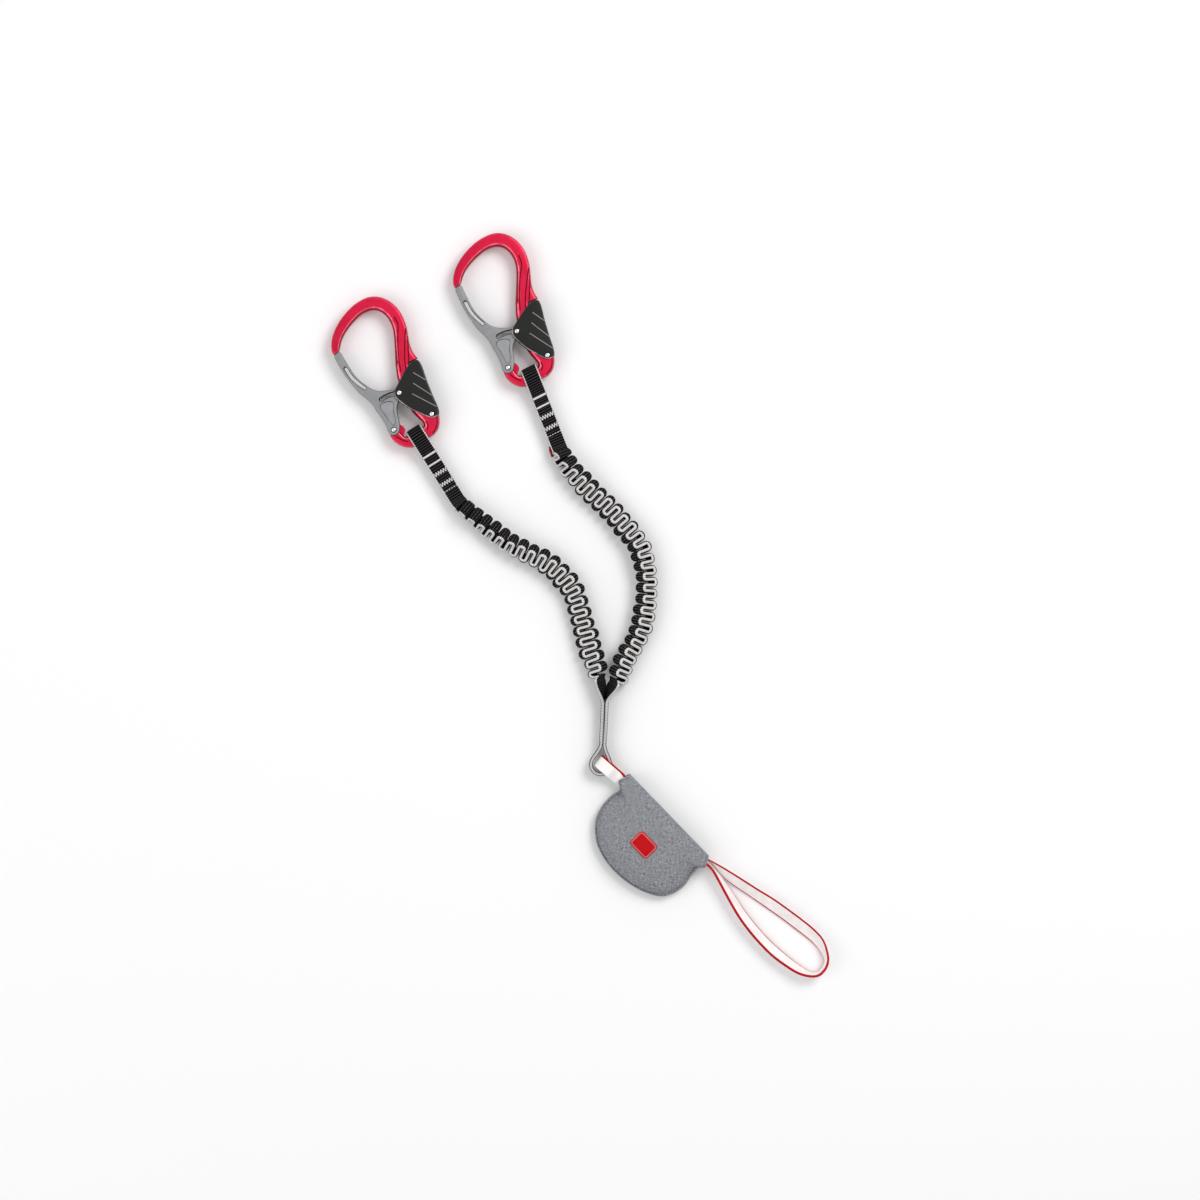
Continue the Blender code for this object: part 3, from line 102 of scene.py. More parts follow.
def smoothThrough(points, steps, closed=False):
    # a centripetal curve through all the points: no loops where they crowd
    count = len(points)
    result = []
    for k in range(count if closed else count - 1):
        if closed:
            p = [points[(k + o) % count] for o in (-1, 0, 1, 2)]
        else:
            before = points[k - 1] if k else points[0] * 2 - points[1]
            after = points[k + 2] if k + 2 < count else points[-1] * 2 - points[-2]
            p = [before, points[k], points[k + 1], after]
        t = [0.0]
        for a, b in zip(p, p[1:]):
            t.append(t[-1] + max((b - a).length, 1e-7) ** 0.5)
        for s in range(steps):
            x = t[1] + (t[2] - t[1]) * s / steps
            a1, a2, a3 = (between(p[i], p[i + 1], t[i], t[i + 1], x) for i in range(3))
            b1, b2 = between(a1, a2, t[0], t[2], x), between(a2, a3, t[1], t[3], x)
            result.append(between(b1, b2, t[1], t[2], x))
    if not closed:
        result.append(points[-1].copy())
    return result


def evenly(points, count):
    # the same line with evenly spaced points
    reach = [0.0]
    for a, b in zip(points, points[1:]):
        reach.append(reach[-1] + (b - a).length)
    result, k = [], 0
    for i in range(count):
        goal = reach[-1] * i / (count - 1)
        while k < len(points) - 2 and reach[k + 1] < goal:
            k += 1
        result.append(points[k].lerp(points[k + 1], (goal - reach[k]) / (reach[k + 1] - reach[k])))
    return result, reach[-1]


def ahead(line, i):
    # from the point before to the point after
    return line[min(i + 1, len(line) - 1)] - line[max(i - 1, 0)]


def place(name, mesh, material=None, sharp=35):
    # a finished piece at the origin, smooth but for its real edges; keeps the mesh's materials if none is named
    if material:
        mesh.materials.clear()
        mesh.materials.append(material)
    mesh.shade_smooth()
    if sharp:
        mesh.set_sharp_from_angle(angle=math.radians(sharp))
    return show(name, mesh)


def show(name, data):
    obj = bpy.data.objects.new(name, data)
    bpy.context.scene.collection.objects.link(obj)
    return obj


def dress(obj, body, slot, *replaced):
    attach(obj, body)
    if replaced:
        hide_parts(*replaced)
    return obj


def bake(obj):
    # the object's finished mesh, with its modifiers in it
    mesh = bpy.data.meshes.new_from_object(obj.evaluated_get(bpy.context.evaluated_depsgraph_get()))
    tools = [m.object for m in obj.modifiers if m.type == "BOOLEAN"]
    for used in [obj, *tools]:
        bpy.data.objects.remove(used, do_unlink=True)
    return mesh


def bridge(bm, a, b, count=None):
    # a band of faces between two rings, or along the first points of two rows
    for k in range(count or len(a)):
        j = (k + 1) % len(a)
        bm.faces.new((a[k], a[j], b[j], b[k]))


def bridgeAll(bm, rings):
    for a, b in zip(rings, rings[1:]):
        bridge(bm, a, b)
    bm.faces.new(list(reversed(rings[0])))
    bm.faces.new(rings[-1])


def meshOf(name, bm, openSheet=False):
    # the finished mesh, its faces turned out; the highest face of an open sheet has to look up
    bmesh.ops.recalc_face_normals(bm, faces=bm.faces)
    if openSheet and max(bm.faces, key=lambda f: f.calc_center_median().z).normal.z < 0:
        bmesh.ops.reverse_faces(bm, faces=bm.faces)
    mesh = bpy.data.meshes.new(name)
    bm.to_mesh(mesh)
    bm.free()
    return mesh


class Flow:
    # a value inside a node tree, reckoned with by plain signs
    def __init__(self, tree, socket):
        self.tree, self.socket = tree, socket

    def __abs__(self):
        return calc("ABSOLUTE", self)

    def __gt__(self, other):
        return calc("GREATER_THAN", self, other)


for sign, operation in (("add", "ADD"), ("sub", "SUBTRACT"), ("mul", "MULTIPLY"), ("truediv", "DIVIDE"),
                        ("mod", "MODULO"), ("pow", "POWER")):
    setattr(Flow, "__%s__" % sign, lambda a, b, operation=operation: calc(operation, a, b))
    setattr(Flow, "__r%s__" % sign, lambda a, b, operation=operation: calc(operation, b, a))


def wire(tree, kind, inputs=None, **settings):
    # a new node with its settings made and its inputs linked or filled in
    node = tree.nodes.new(kind)
    for key, value in settings.items():
        setattr(node, key, value)
    for key, value in (inputs or {}).items():
        value = value.socket if isinstance(value, Flow) else value
        if isinstance(value, bpy.types.NodeSocket):
            tree.links.new(value, node.inputs[key])
        else:
            node.inputs[key].default_value = value
    return node


def flow(tree, kind, inputs=None, output=0, **settings):
    return Flow(tree, wire(tree, kind, inputs, **settings).outputs[output])


def form(tree, kind, inputs=None, **settings):
    return flow(tree, "GeometryNode" + kind, inputs, **settings)


def treeOf(*values):
    return next(value.tree for value in values if isinstance(value, Flow))


def calc(operation, *values):
    return flow(treeOf(*values), "ShaderNodeMath", dict(enumerate(values)), operation=operation)


def vector(operation, *values):
    return flow(treeOf(*values), "ShaderNodeVectorMath", dict(enumerate(values)), operation=operation)


def scaled(value, by):
    return flow(value.tree, "ShaderNodeVectorMath", {0: value, "Scale": by}, operation="SCALE")


def combine(x=0.0, y=0.0, z=0.0):
    return flow(treeOf(x, y, z), "ShaderNodeCombineXYZ", {0: x, 1: y, 2: z})


def split(value):
    return [Flow(value.tree, part) for part in wire(value.tree, "ShaderNodeSeparateXYZ", {0: value}).outputs]


def remap(value, low, high, newLow=0.0, newHigh=1.0, kind="SMOOTHSTEP"):
    return flow(value.tree, "ShaderNodeMapRange", {0: value, 1: low, 2: high, 3: newLow, 4: newHigh},
                interpolation_type=kind)


def mixColour(factor, a, b):
    return flow(factor.tree, "ShaderNodeMix", {0: factor, 6: a, 7: b}, output=2, data_type="RGBA")


def cloudy(spot, scale, detail, **more):
    return flow(spot.tree, "ShaderNodeTexNoise", {"Vector": spot, "Scale": scale, "Detail": detail, **more})


def ridged(turns):
    # rounded ridges, one to a turn
    return abs(calc("SINE", turns * math.pi))


def newGroup(name, kind, inputs):
    # an input's default value also says its kind; sockets without one are named by their kind
    tree = bpy.data.node_groups.new(name, kind)
    outputs = {"Colour": "Color", "Roughness": "Float", "Height": "Float"}
    if kind == "GeometryNodeTree":
        inputs, outputs = {"Geometry": "Geometry", **inputs, "Material": "Material"}, {"Geometry": "Geometry"}
    for direction, sockets in (("INPUT", inputs), ("OUTPUT", outputs)):
        for label, value in sockets.items():
            kinds = {str: value, int: "Int", float: "Float", tuple: "Color"}
            socket = tree.interface.new_socket(label, in_out=direction,
                                               socket_type="NodeSocket" + kinds[type(value)])
            if type(value) is not str:
                socket.default_value = value
    given = {socket.name: Flow(tree, socket) for socket in tree.nodes.new("NodeGroupInput").outputs}
    return tree, given, tree.nodes.new("NodeGroupOutput").inputs


def giveOut(tree, out, results):
    for label, value in results.items():
        tree.links.new(value.socket, out[label])
    return tree


def giveDressed(tree, given, out, geometry):
    # the end of each geometry tree
    real = form(tree, "RealizeInstances", {0: geometry})
    dressed = form(tree, "SetMaterial", {"Geometry": real, "Material": given["Material"]})
    return giveOut(tree, out, {"Geometry": dressed})


def grow(name, mesh, tree, values):
    # runs a geometry tree on a mesh and returns the plain mesh
    source = show(name, mesh)
    modifier = source.modifiers.new("nodes", "NODES")
    modifier.node_group = tree
    for item in tree.interface.items_tree:
        if item.item_type == "SOCKET" and item.in_out == "INPUT" and item.name in values:
            modifier[item.identifier] = values[item.name]
    return bake(source)


def lineMesh(name, lines):
    # open lines as edges, for a tree to follow
    verts, edges = [], []
    for line in lines:
        edges += [(len(verts) + i, len(verts) + i + 1) for i in range(len(line) - 1)]
        verts += [tuple(p) for p in line]
    mesh = bpy.data.meshes.new(name)
    mesh.from_pydata(verts, edges, [])
    return mesh


def weaveGroup():
    # woven tape: cross ribs with a painted highlight on their crests and painted shade in their valleys, fine yarns
    # and coloured selvedges, read from the tape's own (along, across, through)
    tree, given, out = newGroup("tapeWeave", "ShaderNodeTree", {
        "Weave": "Vector", "Half Width": 0.007, "Edge Width": 0.0012, "Edge Depth": 0.01, "Rib Thinness": 3.0,
        "Rib Pitch": 0.002, "Yarn Pitch": 0.0008, "Valley Shade": 0.45, "Body": (0.03, 0.03, 0.03, 1),
        "Rib Highlight": (0.08, 0.08, 0.08, 1), "Edge": (0.6, 0.6, 0.6, 1), "Left Edge": 1.0, "Right Edge": 1.0})
    along, across, through = split(given["Weave"])
    ribTurns = along / given["Rib Pitch"]
    wave = ridged(ribTurns)
    rib = wave ** given["Rib Thinness"]
    yarn = ridged(across / given["Yarn Pitch"] + calc("FLOOR", ribTurns) * 0.5)
    start = given["Half Width"] - given["Edge Width"]
    isLeft = across > 0.0
    border = remap(abs(across), start, start + 0.00025)
    border *= isLeft * given["Left Edge"] + (1.0 - isLeft) * given["Right Edge"]
    border *= remap(given["Edge Depth"] - abs(through), -0.0001, 0.0001)
    fleck = cloudy(given["Weave"], 1500.0, 2.0)
    cloud = cloudy(given["Weave"], 110.0, 3.0)
    # the rib colour on the crests is a painted highlight
    lit = rib * remap(yarn, 0.0, 1.0, 0.35, 1.0) * remap(fleck, 0.3, 0.7, 0.4, 1.0)
    body = mixColour(lit, given["Body"], given["Rib Highlight"])
    edgeRib = abs(calc("SINE", along * (2 * math.pi / 0.0016)))
    edge = mixColour(remap(edgeRib, 0.0, 0.5, 0.35, 0.0), given["Edge"], (0.10, 0.09, 0.09, 1))
    # painted shade in the valleys between the ribs, and random cloudy tone
    shade = remap(cloud, 0.3, 0.7, 0.93, 1.03) * remap(wave, 0.0, 0.6, given["Valley Shade"], 1.0)
    return giveOut(tree, out, {"Colour": scaled(mixColour(border, body, edge), shade),
                               "Roughness": remap(fleck, 0.2, 0.8, 0.72, 0.95),
                               "Height": wave * 0.65 + yarn * 0.35 + fleck * 0.25})


def metalGroup():
    # blasted and anodised metal: fine grain, faint handling marks and pale specks of wear; where Edge is above zero a
    # painted highlight, where it is below zero painted shade
    tree, given, out = newGroup("blastedMetal", "ShaderNodeTree", {
        "Vector": "Vector", "Colour": (0.5, 0.5, 0.5, 1), "Highlight And Wear": (0.8, 0.8, 0.8, 1), "Edge": 0.0,
        "Grain": 2500.0, "Smooth": 0.25, "Rough": 0.45})
    grain = cloudy(given["Vector"], given["Grain"], 2.0)
    marks = cloudy(given["Vector"], 160.0, 6.0, Roughness=0.7)
    scratch = flow(tree, "ShaderNodeTexWave", {"Vector": given["Vector"], "Scale": 420.0, "Distortion": 22.0,
                                               "Detail": 4.0, "Detail Scale": 0.6}, output=1)
    # painted highlight where Edge is above zero, uneven with the marks
    highlightAndWear = calc("MAXIMUM", given["Edge"], 0.0) * remap(marks, 0.38, 0.6, 0.35, 1.0)
    speck = remap(marks, 0.66, 0.74) * 0.25
    colour = mixColour(calc("MAXIMUM", highlightAndWear, speck), given["Colour"], given["Highlight And Wear"])
    groove = remap(given["Edge"], -1.0, 0.0, 0.25, 1.0, "LINEAR")  # below zero it is painted shade: the section's dark bands, the nose, the tang and the gate's rounded edges
    blur = grain * 0.5 + marks * 0.5
    return giveOut(tree, out, {"Colour": scaled(colour, remap(marks, 0.3, 0.7, 0.93, 1.05) * groove),
                               "Roughness": remap(blur, 0.3, 0.7, given["Smooth"], given["Rough"]),
                               "Height": grain + remap(scratch, 0.93, 1.0) * -0.5})


def clothGroup():
    # plain weave of mixed pale and dark yarns, with painted shade where the yarns dip between crossings
    tree, given, out = newGroup("melangeCloth", "ShaderNodeTree", {
        "Vector": "Vector", "Pitch": 0.0007, "Dark": (0.1, 0.1, 0.12, 1), "Pale": (0.5, 0.5, 0.52, 1),
        "Contrast": 1.0})
    x, y, z = split(given["Vector"])
    warpTurns, weftTurns = x / given["Pitch"], y / given["Pitch"]
    parity = abs(calc("FLOOR", warpTurns) + calc("FLOOR", weftTurns)) % 2.0
    bulge = split(mixColour(parity, combine(ridged(warpTurns)), combine(ridged(weftTurns))))[0]
    warpStreaks, weftStreaks = (cloudy(vector("MULTIPLY", given["Vector"], stretch), 1.0, 3.0)
                                for stretch in ((420.0, 2300.0, 1.0), (2300.0, 420.0, 1.0)))
    yarn = warpStreaks * parity + weftStreaks * (1.0 - parity)
    cloud = cloudy(given["Vector"], 60.0, 3.0)
    pale = 0.5 + (remap(yarn, 0.38, 0.62) - 0.5) * given["Contrast"]
    shade = remap(bulge, 0.0, 0.7, 0.62, 1.04) * remap(cloud, 0.3, 0.7, 0.97, 1.02)
    return giveOut(tree, out, {"Colour": scaled(mixColour(pale, given["Dark"], given["Pale"]), shade),
                               "Roughness": remap(yarn, 0.3, 0.7, 0.78, 0.95), "Height": bulge + yarn * 0.4})


weave, metal, cloth = weaveGroup(), metalGroup(), clothGroup()


def finish(name, group, values, source="object", metallic=0.0, shine=0.5, bump=0.4, depth=0.0002, edge=False):
    # one Principled material fed by a shared effect
    material = bpy.data.materials.new(name)
    material.use_nodes = True
    tree = material.node_tree
    shader = tree.nodes["Principled BSDF"]
    shader.inputs["Metallic"].default_value = metallic
    shader.inputs["Specular IOR Level"].default_value = shine
    if source == "object":
        spot = flow(tree, "ShaderNodeTexCoord", output="Object")
    else:
        spot = flow(tree, "ShaderNodeAttribute", output="Vector", attribute_name=source)
    values = {key: (*value, 1) if isinstance(value, tuple) else value for key, value in values.items()}
    if edge:
        # the edge attribute: a painted highlight above zero, painted shade below
        values["Edge"] = flow(tree, "ShaderNodeAttribute", output="Fac", attribute_name="edge")
    effect = wire(tree, "ShaderNodeGroup", {0: spot, **values}, node_tree=group).outputs
    relief = wire(tree, "ShaderNodeBump", {"Height": effect["Height"], "Strength": bump, "Distance": depth})
    for target, result in (("Base Color", effect["Colour"]), ("Roughness", effect["Roughness"]),
                           ("Normal", relief.outputs[0])):
        tree.links.new(result, shader.inputs[target])
    return material


blackWeave = {"Half Width": 0.007, "Edge Width": 0.001, "Rib Pitch": 0.0021, "Yarn Pitch": 0.0010, "Valley Shade": 0.25,
              "Rib Thinness": 7.0, "Body": (0.002, 0.002, 0.0022), "Rib Highlight": (0.095, 0.088, 0.088),
              "Edge": (0.80, 0.77, 0.76)}
slingWeave = {"Half Width": 0.00625, "Edge Width": 0.0014, "Rib Pitch": 0.0012, "Yarn Pitch": 0.0007,
              "Valley Shade": 0.97, "Rib Thinness": 1.0, "Body": (0.97, 0.92, 0.91), "Rib Highlight": (0.98, 0.96, 0.955),
              "Edge": (0.50, 0.003, 0.008)}
finishes = {}
for key, name, base, changes in (
        ("tape", "blackTape", blackWeave, {}),
        ("arm", "ruffledTape", blackWeave, {"Edge Width": 0.0010, "Rib Pitch": 0.0014, "Yarn Pitch": 0.0030,
         "Rib Thinness": 4.0, "Rib Highlight": (0.10, 0.092, 0.092), "Edge": (0.80, 0.78, 0.77)}),
        ("stem", "stemTape", blackWeave, {"Half Width": 0.0058, "Edge Width": 0.0014, "Edge Depth": 0.00115,
         "Rib Pitch": 0.0013, "Edge": (0.64, 0.63, 0.62)}),
        ("link", "linkTape", slingWeave, {"Half Width": 0.0055, "Right Edge": 0.0}),
        ("sling", "slingTape", slingWeave, {}),
        ("pack", "tearTape", slingWeave, {"Half Width": 0.006})):
    shine, bump, depth = (0.03, 0.8, 0.0003) if base is blackWeave else (0.15, 0.35, 0.0002)
    finishes[key] = finish(name, weave, {**base, **changes}, "weave", shine=shine, bump=bump, depth=depth)
# colour, colour of painted highlights and wear specks, roughness at its least and most, metallic, shine, bump, whether
# edges take painted highlight and shade, grain
for key, name, colour, highlightAndWear, smooth, rough, metallic, shine, bump, edge, grain in (
        ("frame", "crimsonAnodised", (0.60, 0.007, 0.046), (0.92, 0.26, 0.34), 0.26, 0.42, 0.7, 0.4, 0.08, True, 2500),
        # crimsonShade: painted shade for the frame's pocket, seats, grooves and pin holes
        ("frameGroove", "crimsonShade", (0.20, 0.002, 0.014), (0.5, 0.05, 0.1), 0.4, 0.6, 0.4, 0.2, 0.08, False, 2500),
        ("gate", "greyAnodised", (0.235, 0.241, 0.246), (0.46, 0.47, 0.49), 0.38, 0.54, 0.5, 0.3, 0.12, True, 2500),
        ("gatePanel", "palePanel", (0.275, 0.275, 0.29), (0.5, 0.5, 0.52), 0.38, 0.54, 0.5, 0.3, 0.12, False, 2500),
        # greyShade: painted shade for the gate's slots, rims, seats and cut walls, and the lever's holes and seats
        ("gateWall", "greyShade", (0.014, 0.014, 0.016), (0.07, 0.07, 0.08), 0.4, 0.6, 0.3, 0.2, 0.1, False, 2500),
        ("lever", "blackMoulding", (0.008, 0.0075, 0.007), (0.52, 0.50, 0.49), 0.36, 0.52, 0.0, 0.2, 0.22, True, 1800),
        # the lever's ridges, pale as a painted highlight
        ("leverRidgeHighlight", "ridgeHighlightMoulding", (0.26, 0.25, 0.245), (0.5, 0.49, 0.48), 0.3, 0.45, 0.0, 0.4, 0.15, False, 2500),
        ("rivet", "polishedRivet", (0.62, 0.62, 0.63), (0.85, 0.85, 0.86), 0.18, 0.32, 0.9, 0.5, 0.05, False, 2500),
        ("spring", "springSteel", (0.45, 0.45, 0.47), (0.7, 0.7, 0.7), 0.20, 0.34, 1.0, 0.5, 0.05, False, 2500)):
    finishes[key] = finish(name, metal, {"Colour": colour, "Highlight And Wear": highlightAndWear, "Smooth": smooth, "Rough": rough,
                                         "Grain": grain}, metallic=metallic, shine=shine, bump=bump, edge=edge)
# pitch, dark and pale yarns, contrast, what the weave is laid on, shine, bump and its depth
for key, name, pitch, dark, pale, contrast, source, shine, bump, depth in (
        ("pouch", "melangeCover", 0.00062, (0.085, 0.088, 0.102), (0.47, 0.48, 0.51), 1.0, "weave", 0.15, 0.6, 0.0002),
        ("strip", "hookTape", 0.0005, (0.012, 0.012, 0.014), (0.05, 0.05, 0.055), 1.0, "weave", 0.15, 0.8, 0.0003),
        ("patch", "redPatch", 0.00045, (0.46, 0.003, 0.006), (0.62, 0.008, 0.012), 0.6, "object", 0.15, 0.4, 0.0002),
        ("tab", "redTab", 0.00045, (0.16, 0.004, 0.012), (0.34, 0.012, 0.03), 0.6, "object", 0.15, 0.4, 0.0002),
        ("paleThread", "paleThread", 0.0004, (0.66, 0.65, 0.64), (0.92, 0.91, 0.90), 0.5, "object", 0.2, 0.5, 0.0001),
        ("greyThread", "greyThread", 0.0004, (0.06, 0.06, 0.07), (0.15, 0.15, 0.16), 0.5, "object", 0.2, 0.5, 0.0001)):
    finishes[key] = finish(name, cloth, {"Pitch": pitch, "Dark": dark, "Pale": pale, "Contrast": contrast}, source,
                           shine=shine, bump=bump, depth=depth)
print("finishes ready:", len(finishes))

studio = {"lens": 100, "height": 2.8, "aim": (600, 600), "floor": (0.93, 0.93, 0.935, 1), "world": 0.62,
          "floorHalf": 6, "floorLevel": -0.0003, "cloud": (0.95, 0.95, 0.95, 1),
          "paper": {"Roughness": 0.9, "Specular IOR Level": 0.1},
          "key": (26, (1.1, 1.0, 1.9), 1.1), "fill": (12, (-1.5, -0.4, 1.7), 1.6)}
camera = show("camera", bpy.data.cameras.new("camera"))
camera.data.lens = studio["lens"]
camera.location = onTable(studio["aim"], studio["height"])
bpy.context.scene.camera = camera
bpy.context.scene.view_settings.view_transform = "Standard"

for name in ("key", "fill"):
    watts, spot, size = studio[name]
    lamp = show(name, bpy.data.lights.new(name, "AREA"))
    lamp.data.energy = watts
    lamp.data.size = size
    lamp.location = spot
    lamp.rotation_euler = (-Vector(spot)).to_track_quat("-Z", "Y").to_euler()

sky = bpy.data.worlds.new("softSky")
sky.use_nodes = True
bpy.context.scene.world = sky
backdrop = sky.node_tree.nodes["Background"]
backdrop.inputs["Color"].default_value = (1, 1, 1, 1)
rays = wire(sky.node_tree, "ShaderNodeLightPath").outputs
seen = calc("MAXIMUM", Flow(sky.node_tree, rays["Is Camera Ray"]), Flow(sky.node_tree, rays["Is Glossy Ray"]))
sky.node_tree.links.new(remap(seen, 0.0, 1.0, studio["world"], 1.0, "LINEAR").socket, backdrop.inputs["Strength"])

floorMesh = bpy.data.meshes.new("floor")
corners = [(x * studio["floorHalf"], y * studio["floorHalf"], studio["floorLevel"])
           for x, y in ((-1, -1), (1, -1), (1, 1), (-1, 1))]
floorMesh.from_pydata(corners, [], [(0, 1, 2, 3)])
paper = bpy.data.materials.new("paper")
paper.use_nodes = True
paperShader = paper.node_tree.nodes["Principled BSDF"]
for label, value in studio["paper"].items():
    paperShader.inputs[label].default_value = value
paperNoise = flow(paper.node_tree, "ShaderNodeTexNoise", {"Scale": 3.0, "Detail": 2.0})
paper.node_tree.links.new(mixColour(remap(paperNoise, 0.3, 0.7), studio["floor"], studio["cloud"]).socket,
                          paperShader.inputs["Base Color"])
place("floor", floorMesh, paper, sharp=None)
print("camera and light set")

# webbing arms drawn into ruffles; a roll of 90 lays the ruffles' waves upright, 0 lays them flat
arms = {
    "ruffle": {"Steps": 12, "Around": 24, "Lead": 0.003, "Width": 0.014, "Thickness": 0.0042,
               "Edge Thickness": 0.0027, "Unevenness": 0.09, "Seed": 3,
               "Reach": 0.0081, "Edge Reach": 0.0052},  # half the depth, mid tape and at the selvedges
    "pitch": 0.0095,  # one full wave
    "diameter": 0.0176, "samples": 160, "floorGap": 0.0005, "midHeight": 0.00903,
    "liftShare": 0.4,  # how soon the arm rises off the sewn end, in the first roll's length
    "sewnLength": 0.061, "gap": 0.0003, "overlap": 0.0010,
    "sectionRound": 0.58, "edgeFade": 1.5, "merge": 0.000004,
    "left": {
        "firstSide": -1.0,
        "roll": [(0.0, 88.0), (0.06, 82.0), (0.20, 52.0), (0.38, 24.0), (0.55, 2.0), (0.84, 0.0), (0.95, 22.0),
                 (1.0, 38.0)],
        "route": [(469.3, 511.1), (483, 522.5), (495.5, 532.5), (508.6, 542.3), (522.9, 549.9),
                  (542.5, 560.2), (553.4, 567.8), (563, 577.5), (570.2, 587.2), (575.9, 598.6), (580.9, 615),
                  (585, 630), (590.2, 649.1), (595.2, 663), (598.6, 673.6), (600.4, 682)]},
    "right": {
        "firstSide": 1.0,
        "roll": [(0.0, 88.0), (0.05, 62.0), (0.13, 22.0), (0.30, -4.0), (0.50, -24.0), (0.66, -28.0),
                 (0.85, -24.0), (0.95, -30.0), (1.0, -40.0)],
        "route": [(563.2, 457.4), (571.5, 470), (580, 480), (589.4, 490.1), (599.4, 499.8), (609, 509.6),
                  (618.3, 519.9), (626.4, 529.2), (633.2, 537.6), (639, 547), (643.1, 557.6), (645.5, 568.8),
                  (646.3, 581), (646, 594.4), (644.6, 609), (642.2, 622.4), (638.4, 634.6), (632.9, 645.6),
                  (626.8, 656.4), (621.3, 667.2), (617, 677.4), (612.8, 685.6)]},
}


def ruffleTree():
    # follows a route whose points carry "roll" and "height", and waves a tape from side to side along it
    tree, given, out = newGroup("ruffledWebbing", "GeometryNodeTree", {
        "Waves": 40, "Steps": 12, "Around": 24, "Lead": 0.003, "Reach": 0.0075, "Edge Reach": 0.00475,
        "Width": 0.014, "Thickness": 0.0026, "Edge Thickness": 0.0022, "First Side": 1.0, "Unevenness": 0.1,
        "Seed": 3})
    lead, steps, fullReach, thickness = (given[label] for label in ("Lead", "Steps", "Reach", "Thickness"))
    route = form(tree, "MeshToCurve", {0: given["Geometry"]})
    length = form(tree, "CurveLength", {0: route})
    radius = (length - lead * 2.0) / (given["Waves"] * 2.0 + 2.0)
    columns = given["Around"] + 1.0
    grid = form(tree, "MeshGrid", {"Vertices X": (given["Waves"] + 2.0) * steps, "Vertices Y": columns})
    # each point's station along the tape and slot around it, and the station's lobe and step within it
    index = form(tree, "InputIndex")
    station = calc("FLOOR", (index + 0.01) / columns)
    slot = index - station * columns
    lobe = calc("FLOOR", (station + 0.01) / steps)
    turn = (station - lobe * steps) / (steps - 1.0) * math.pi
    sine, cosine = calc("SINE", turn), calc("COSINE", turn)
    distance = (lead - radius) + radius * (lobe * 2.0 + 1.0 - cosine)
    side = given["First Side"] * (1.0 - (lobe + 1.0) % 2.0 * 2.0)
    opening = remap((distance - lead) / (radius * 2.0), 0.0, 1.0)
    fullness = opening * remap((length - lead - distance) / (radius * 2.0), 0.0, 1.0)
    chance = flow(tree, "FunctionNodeRandomValue", {2: -1.0, 3: 1.0, "ID": lobe, "Seed": given["Seed"]}, output=1,
                  data_type="FLOAT")
    reach = (fullReach - radius + radius * sine) * (1.0 + chance * given["Unevenness"])
    offset = side * fullness * reach
    slopeAcross = side * cosine * fullness
    slopeAlong = (1.0 - fullness) + sine * fullness

    samples = {}
    for label in ("roll", "height"):
        named = form(tree, "InputNamedAttribute", {"Name": label}, data_type="FLOAT")
        samples[label] = wire(tree, "GeometryNodeSampleCurve", {"Curves": route, "Value": named,
                              "Length": distance}, mode="LENGTH", data_type="FLOAT").outputs
    roll, middle, along = (Flow(tree, samples["roll"][label]) for label in (0, "Position", "Tangent"))
    lean, stand = calc("SINE", roll), calc("COSINE", roll)
    alongX, alongY, _ = split(along)
    sideways = combine(alongY * -1.0, alongX)
    wave = vector("ADD", scaled(sideways, stand), combine(z=lean))
    across = vector("SUBTRACT", combine(z=stand), scaled(sideways, lean))
    face = vector("NORMALIZE", vector("SUBTRACT", scaled(wave, slopeAlong), scaled(along, slopeAcross)))

    # the tape's section is a rounded oblong, drawn in and thinner at its selvedges
    angle = slot / given["Around"] * (2 * math.pi)
    widthways, thickways = (calc("SIGN", wavy) * abs(wavy) ** arms["sectionRound"]
                            for wavy in (calc("COSINE", angle), calc("SINE", angle)))
    edgeShare = abs(widthways) ** arms["edgeFade"]
    drawnIn = 1.0 - given["Edge Reach"] / fullReach
    bulge = offset * (1.0 - drawnIn * edgeShare)
    acrossBy = widthways * (given["Width"] * 0.5)
    faceBy = thickways * ((thickness - edgeShare * (thickness - given["Edge Thickness"])) * 0.5)
    spot = vector("ADD", middle, combine(z=Flow(tree, samples["height"][0])))
    for direction, amount in ((wave, bulge), (across, acrossBy), (face, faceBy)):
        spot = vector("ADD", spot, scaled(direction, amount))
    shaped = form(tree, "SetPosition", {"Geometry": grid, "Position": spot})
    oneLobe = radius * math.pi + (fullReach - radius) * 2.0
    travelled = lobe * oneLobe + radius * turn
    stored = form(tree, "StoreNamedAttribute", {"Geometry": shaped, "Name": "weave",
                  "Value": combine(travelled, acrossBy, faceBy)}, data_type="FLOAT_VECTOR", domain="POINT")
    joined = form(tree, "MergeByDistance", {"Geometry": stored, "Distance": arms["merge"]})
    return giveDressed(tree, given, out, joined)


def ruffleSupport(roll):
    # how high the ruffles' middle line lies above what they rest on
    lean, stand, look = abs(math.sin(roll)), abs(math.cos(roll)), arms["ruffle"]
    middle = (look["Reach"] + look["Thickness"] / 2) * lean
    edge = (look["Edge Reach"] + look["Edge Thickness"] / 2) * lean + look["Width"] / 2 * stand
    return max(middle, edge)


def closeEnds(mesh):
    # fills the open ends of a swept form and turns its faces out
    bm = bmesh.new()
    bm.from_mesh(mesh)
    bmesh.ops.holes_fill(bm, edges=[e for e in bm.edges if e.is_boundary], sides=0)
    bmesh.ops.recalc_face_normals(bm, faces=bm.faces)
    bm.to_mesh(mesh)
    bm.free()
    return mesh


def sewnEnd(side):
    # where the sewn end stops and its arm begins
    spot = layout[side]
    out = spot["turn"] + layout["barSlant"] - 90
    skew = math.radians(spot["sewn"] - out)
    clear = arms["gap"] + arms["ruffle"]["Width"] / 2 * abs(math.tan(skew))
    bar = Vector((*spot["bar"][:2], 0))
    return bar + heading(spot["sewn"]) * (arms["sewnLength"] / math.cos(skew) + clear), skew, out


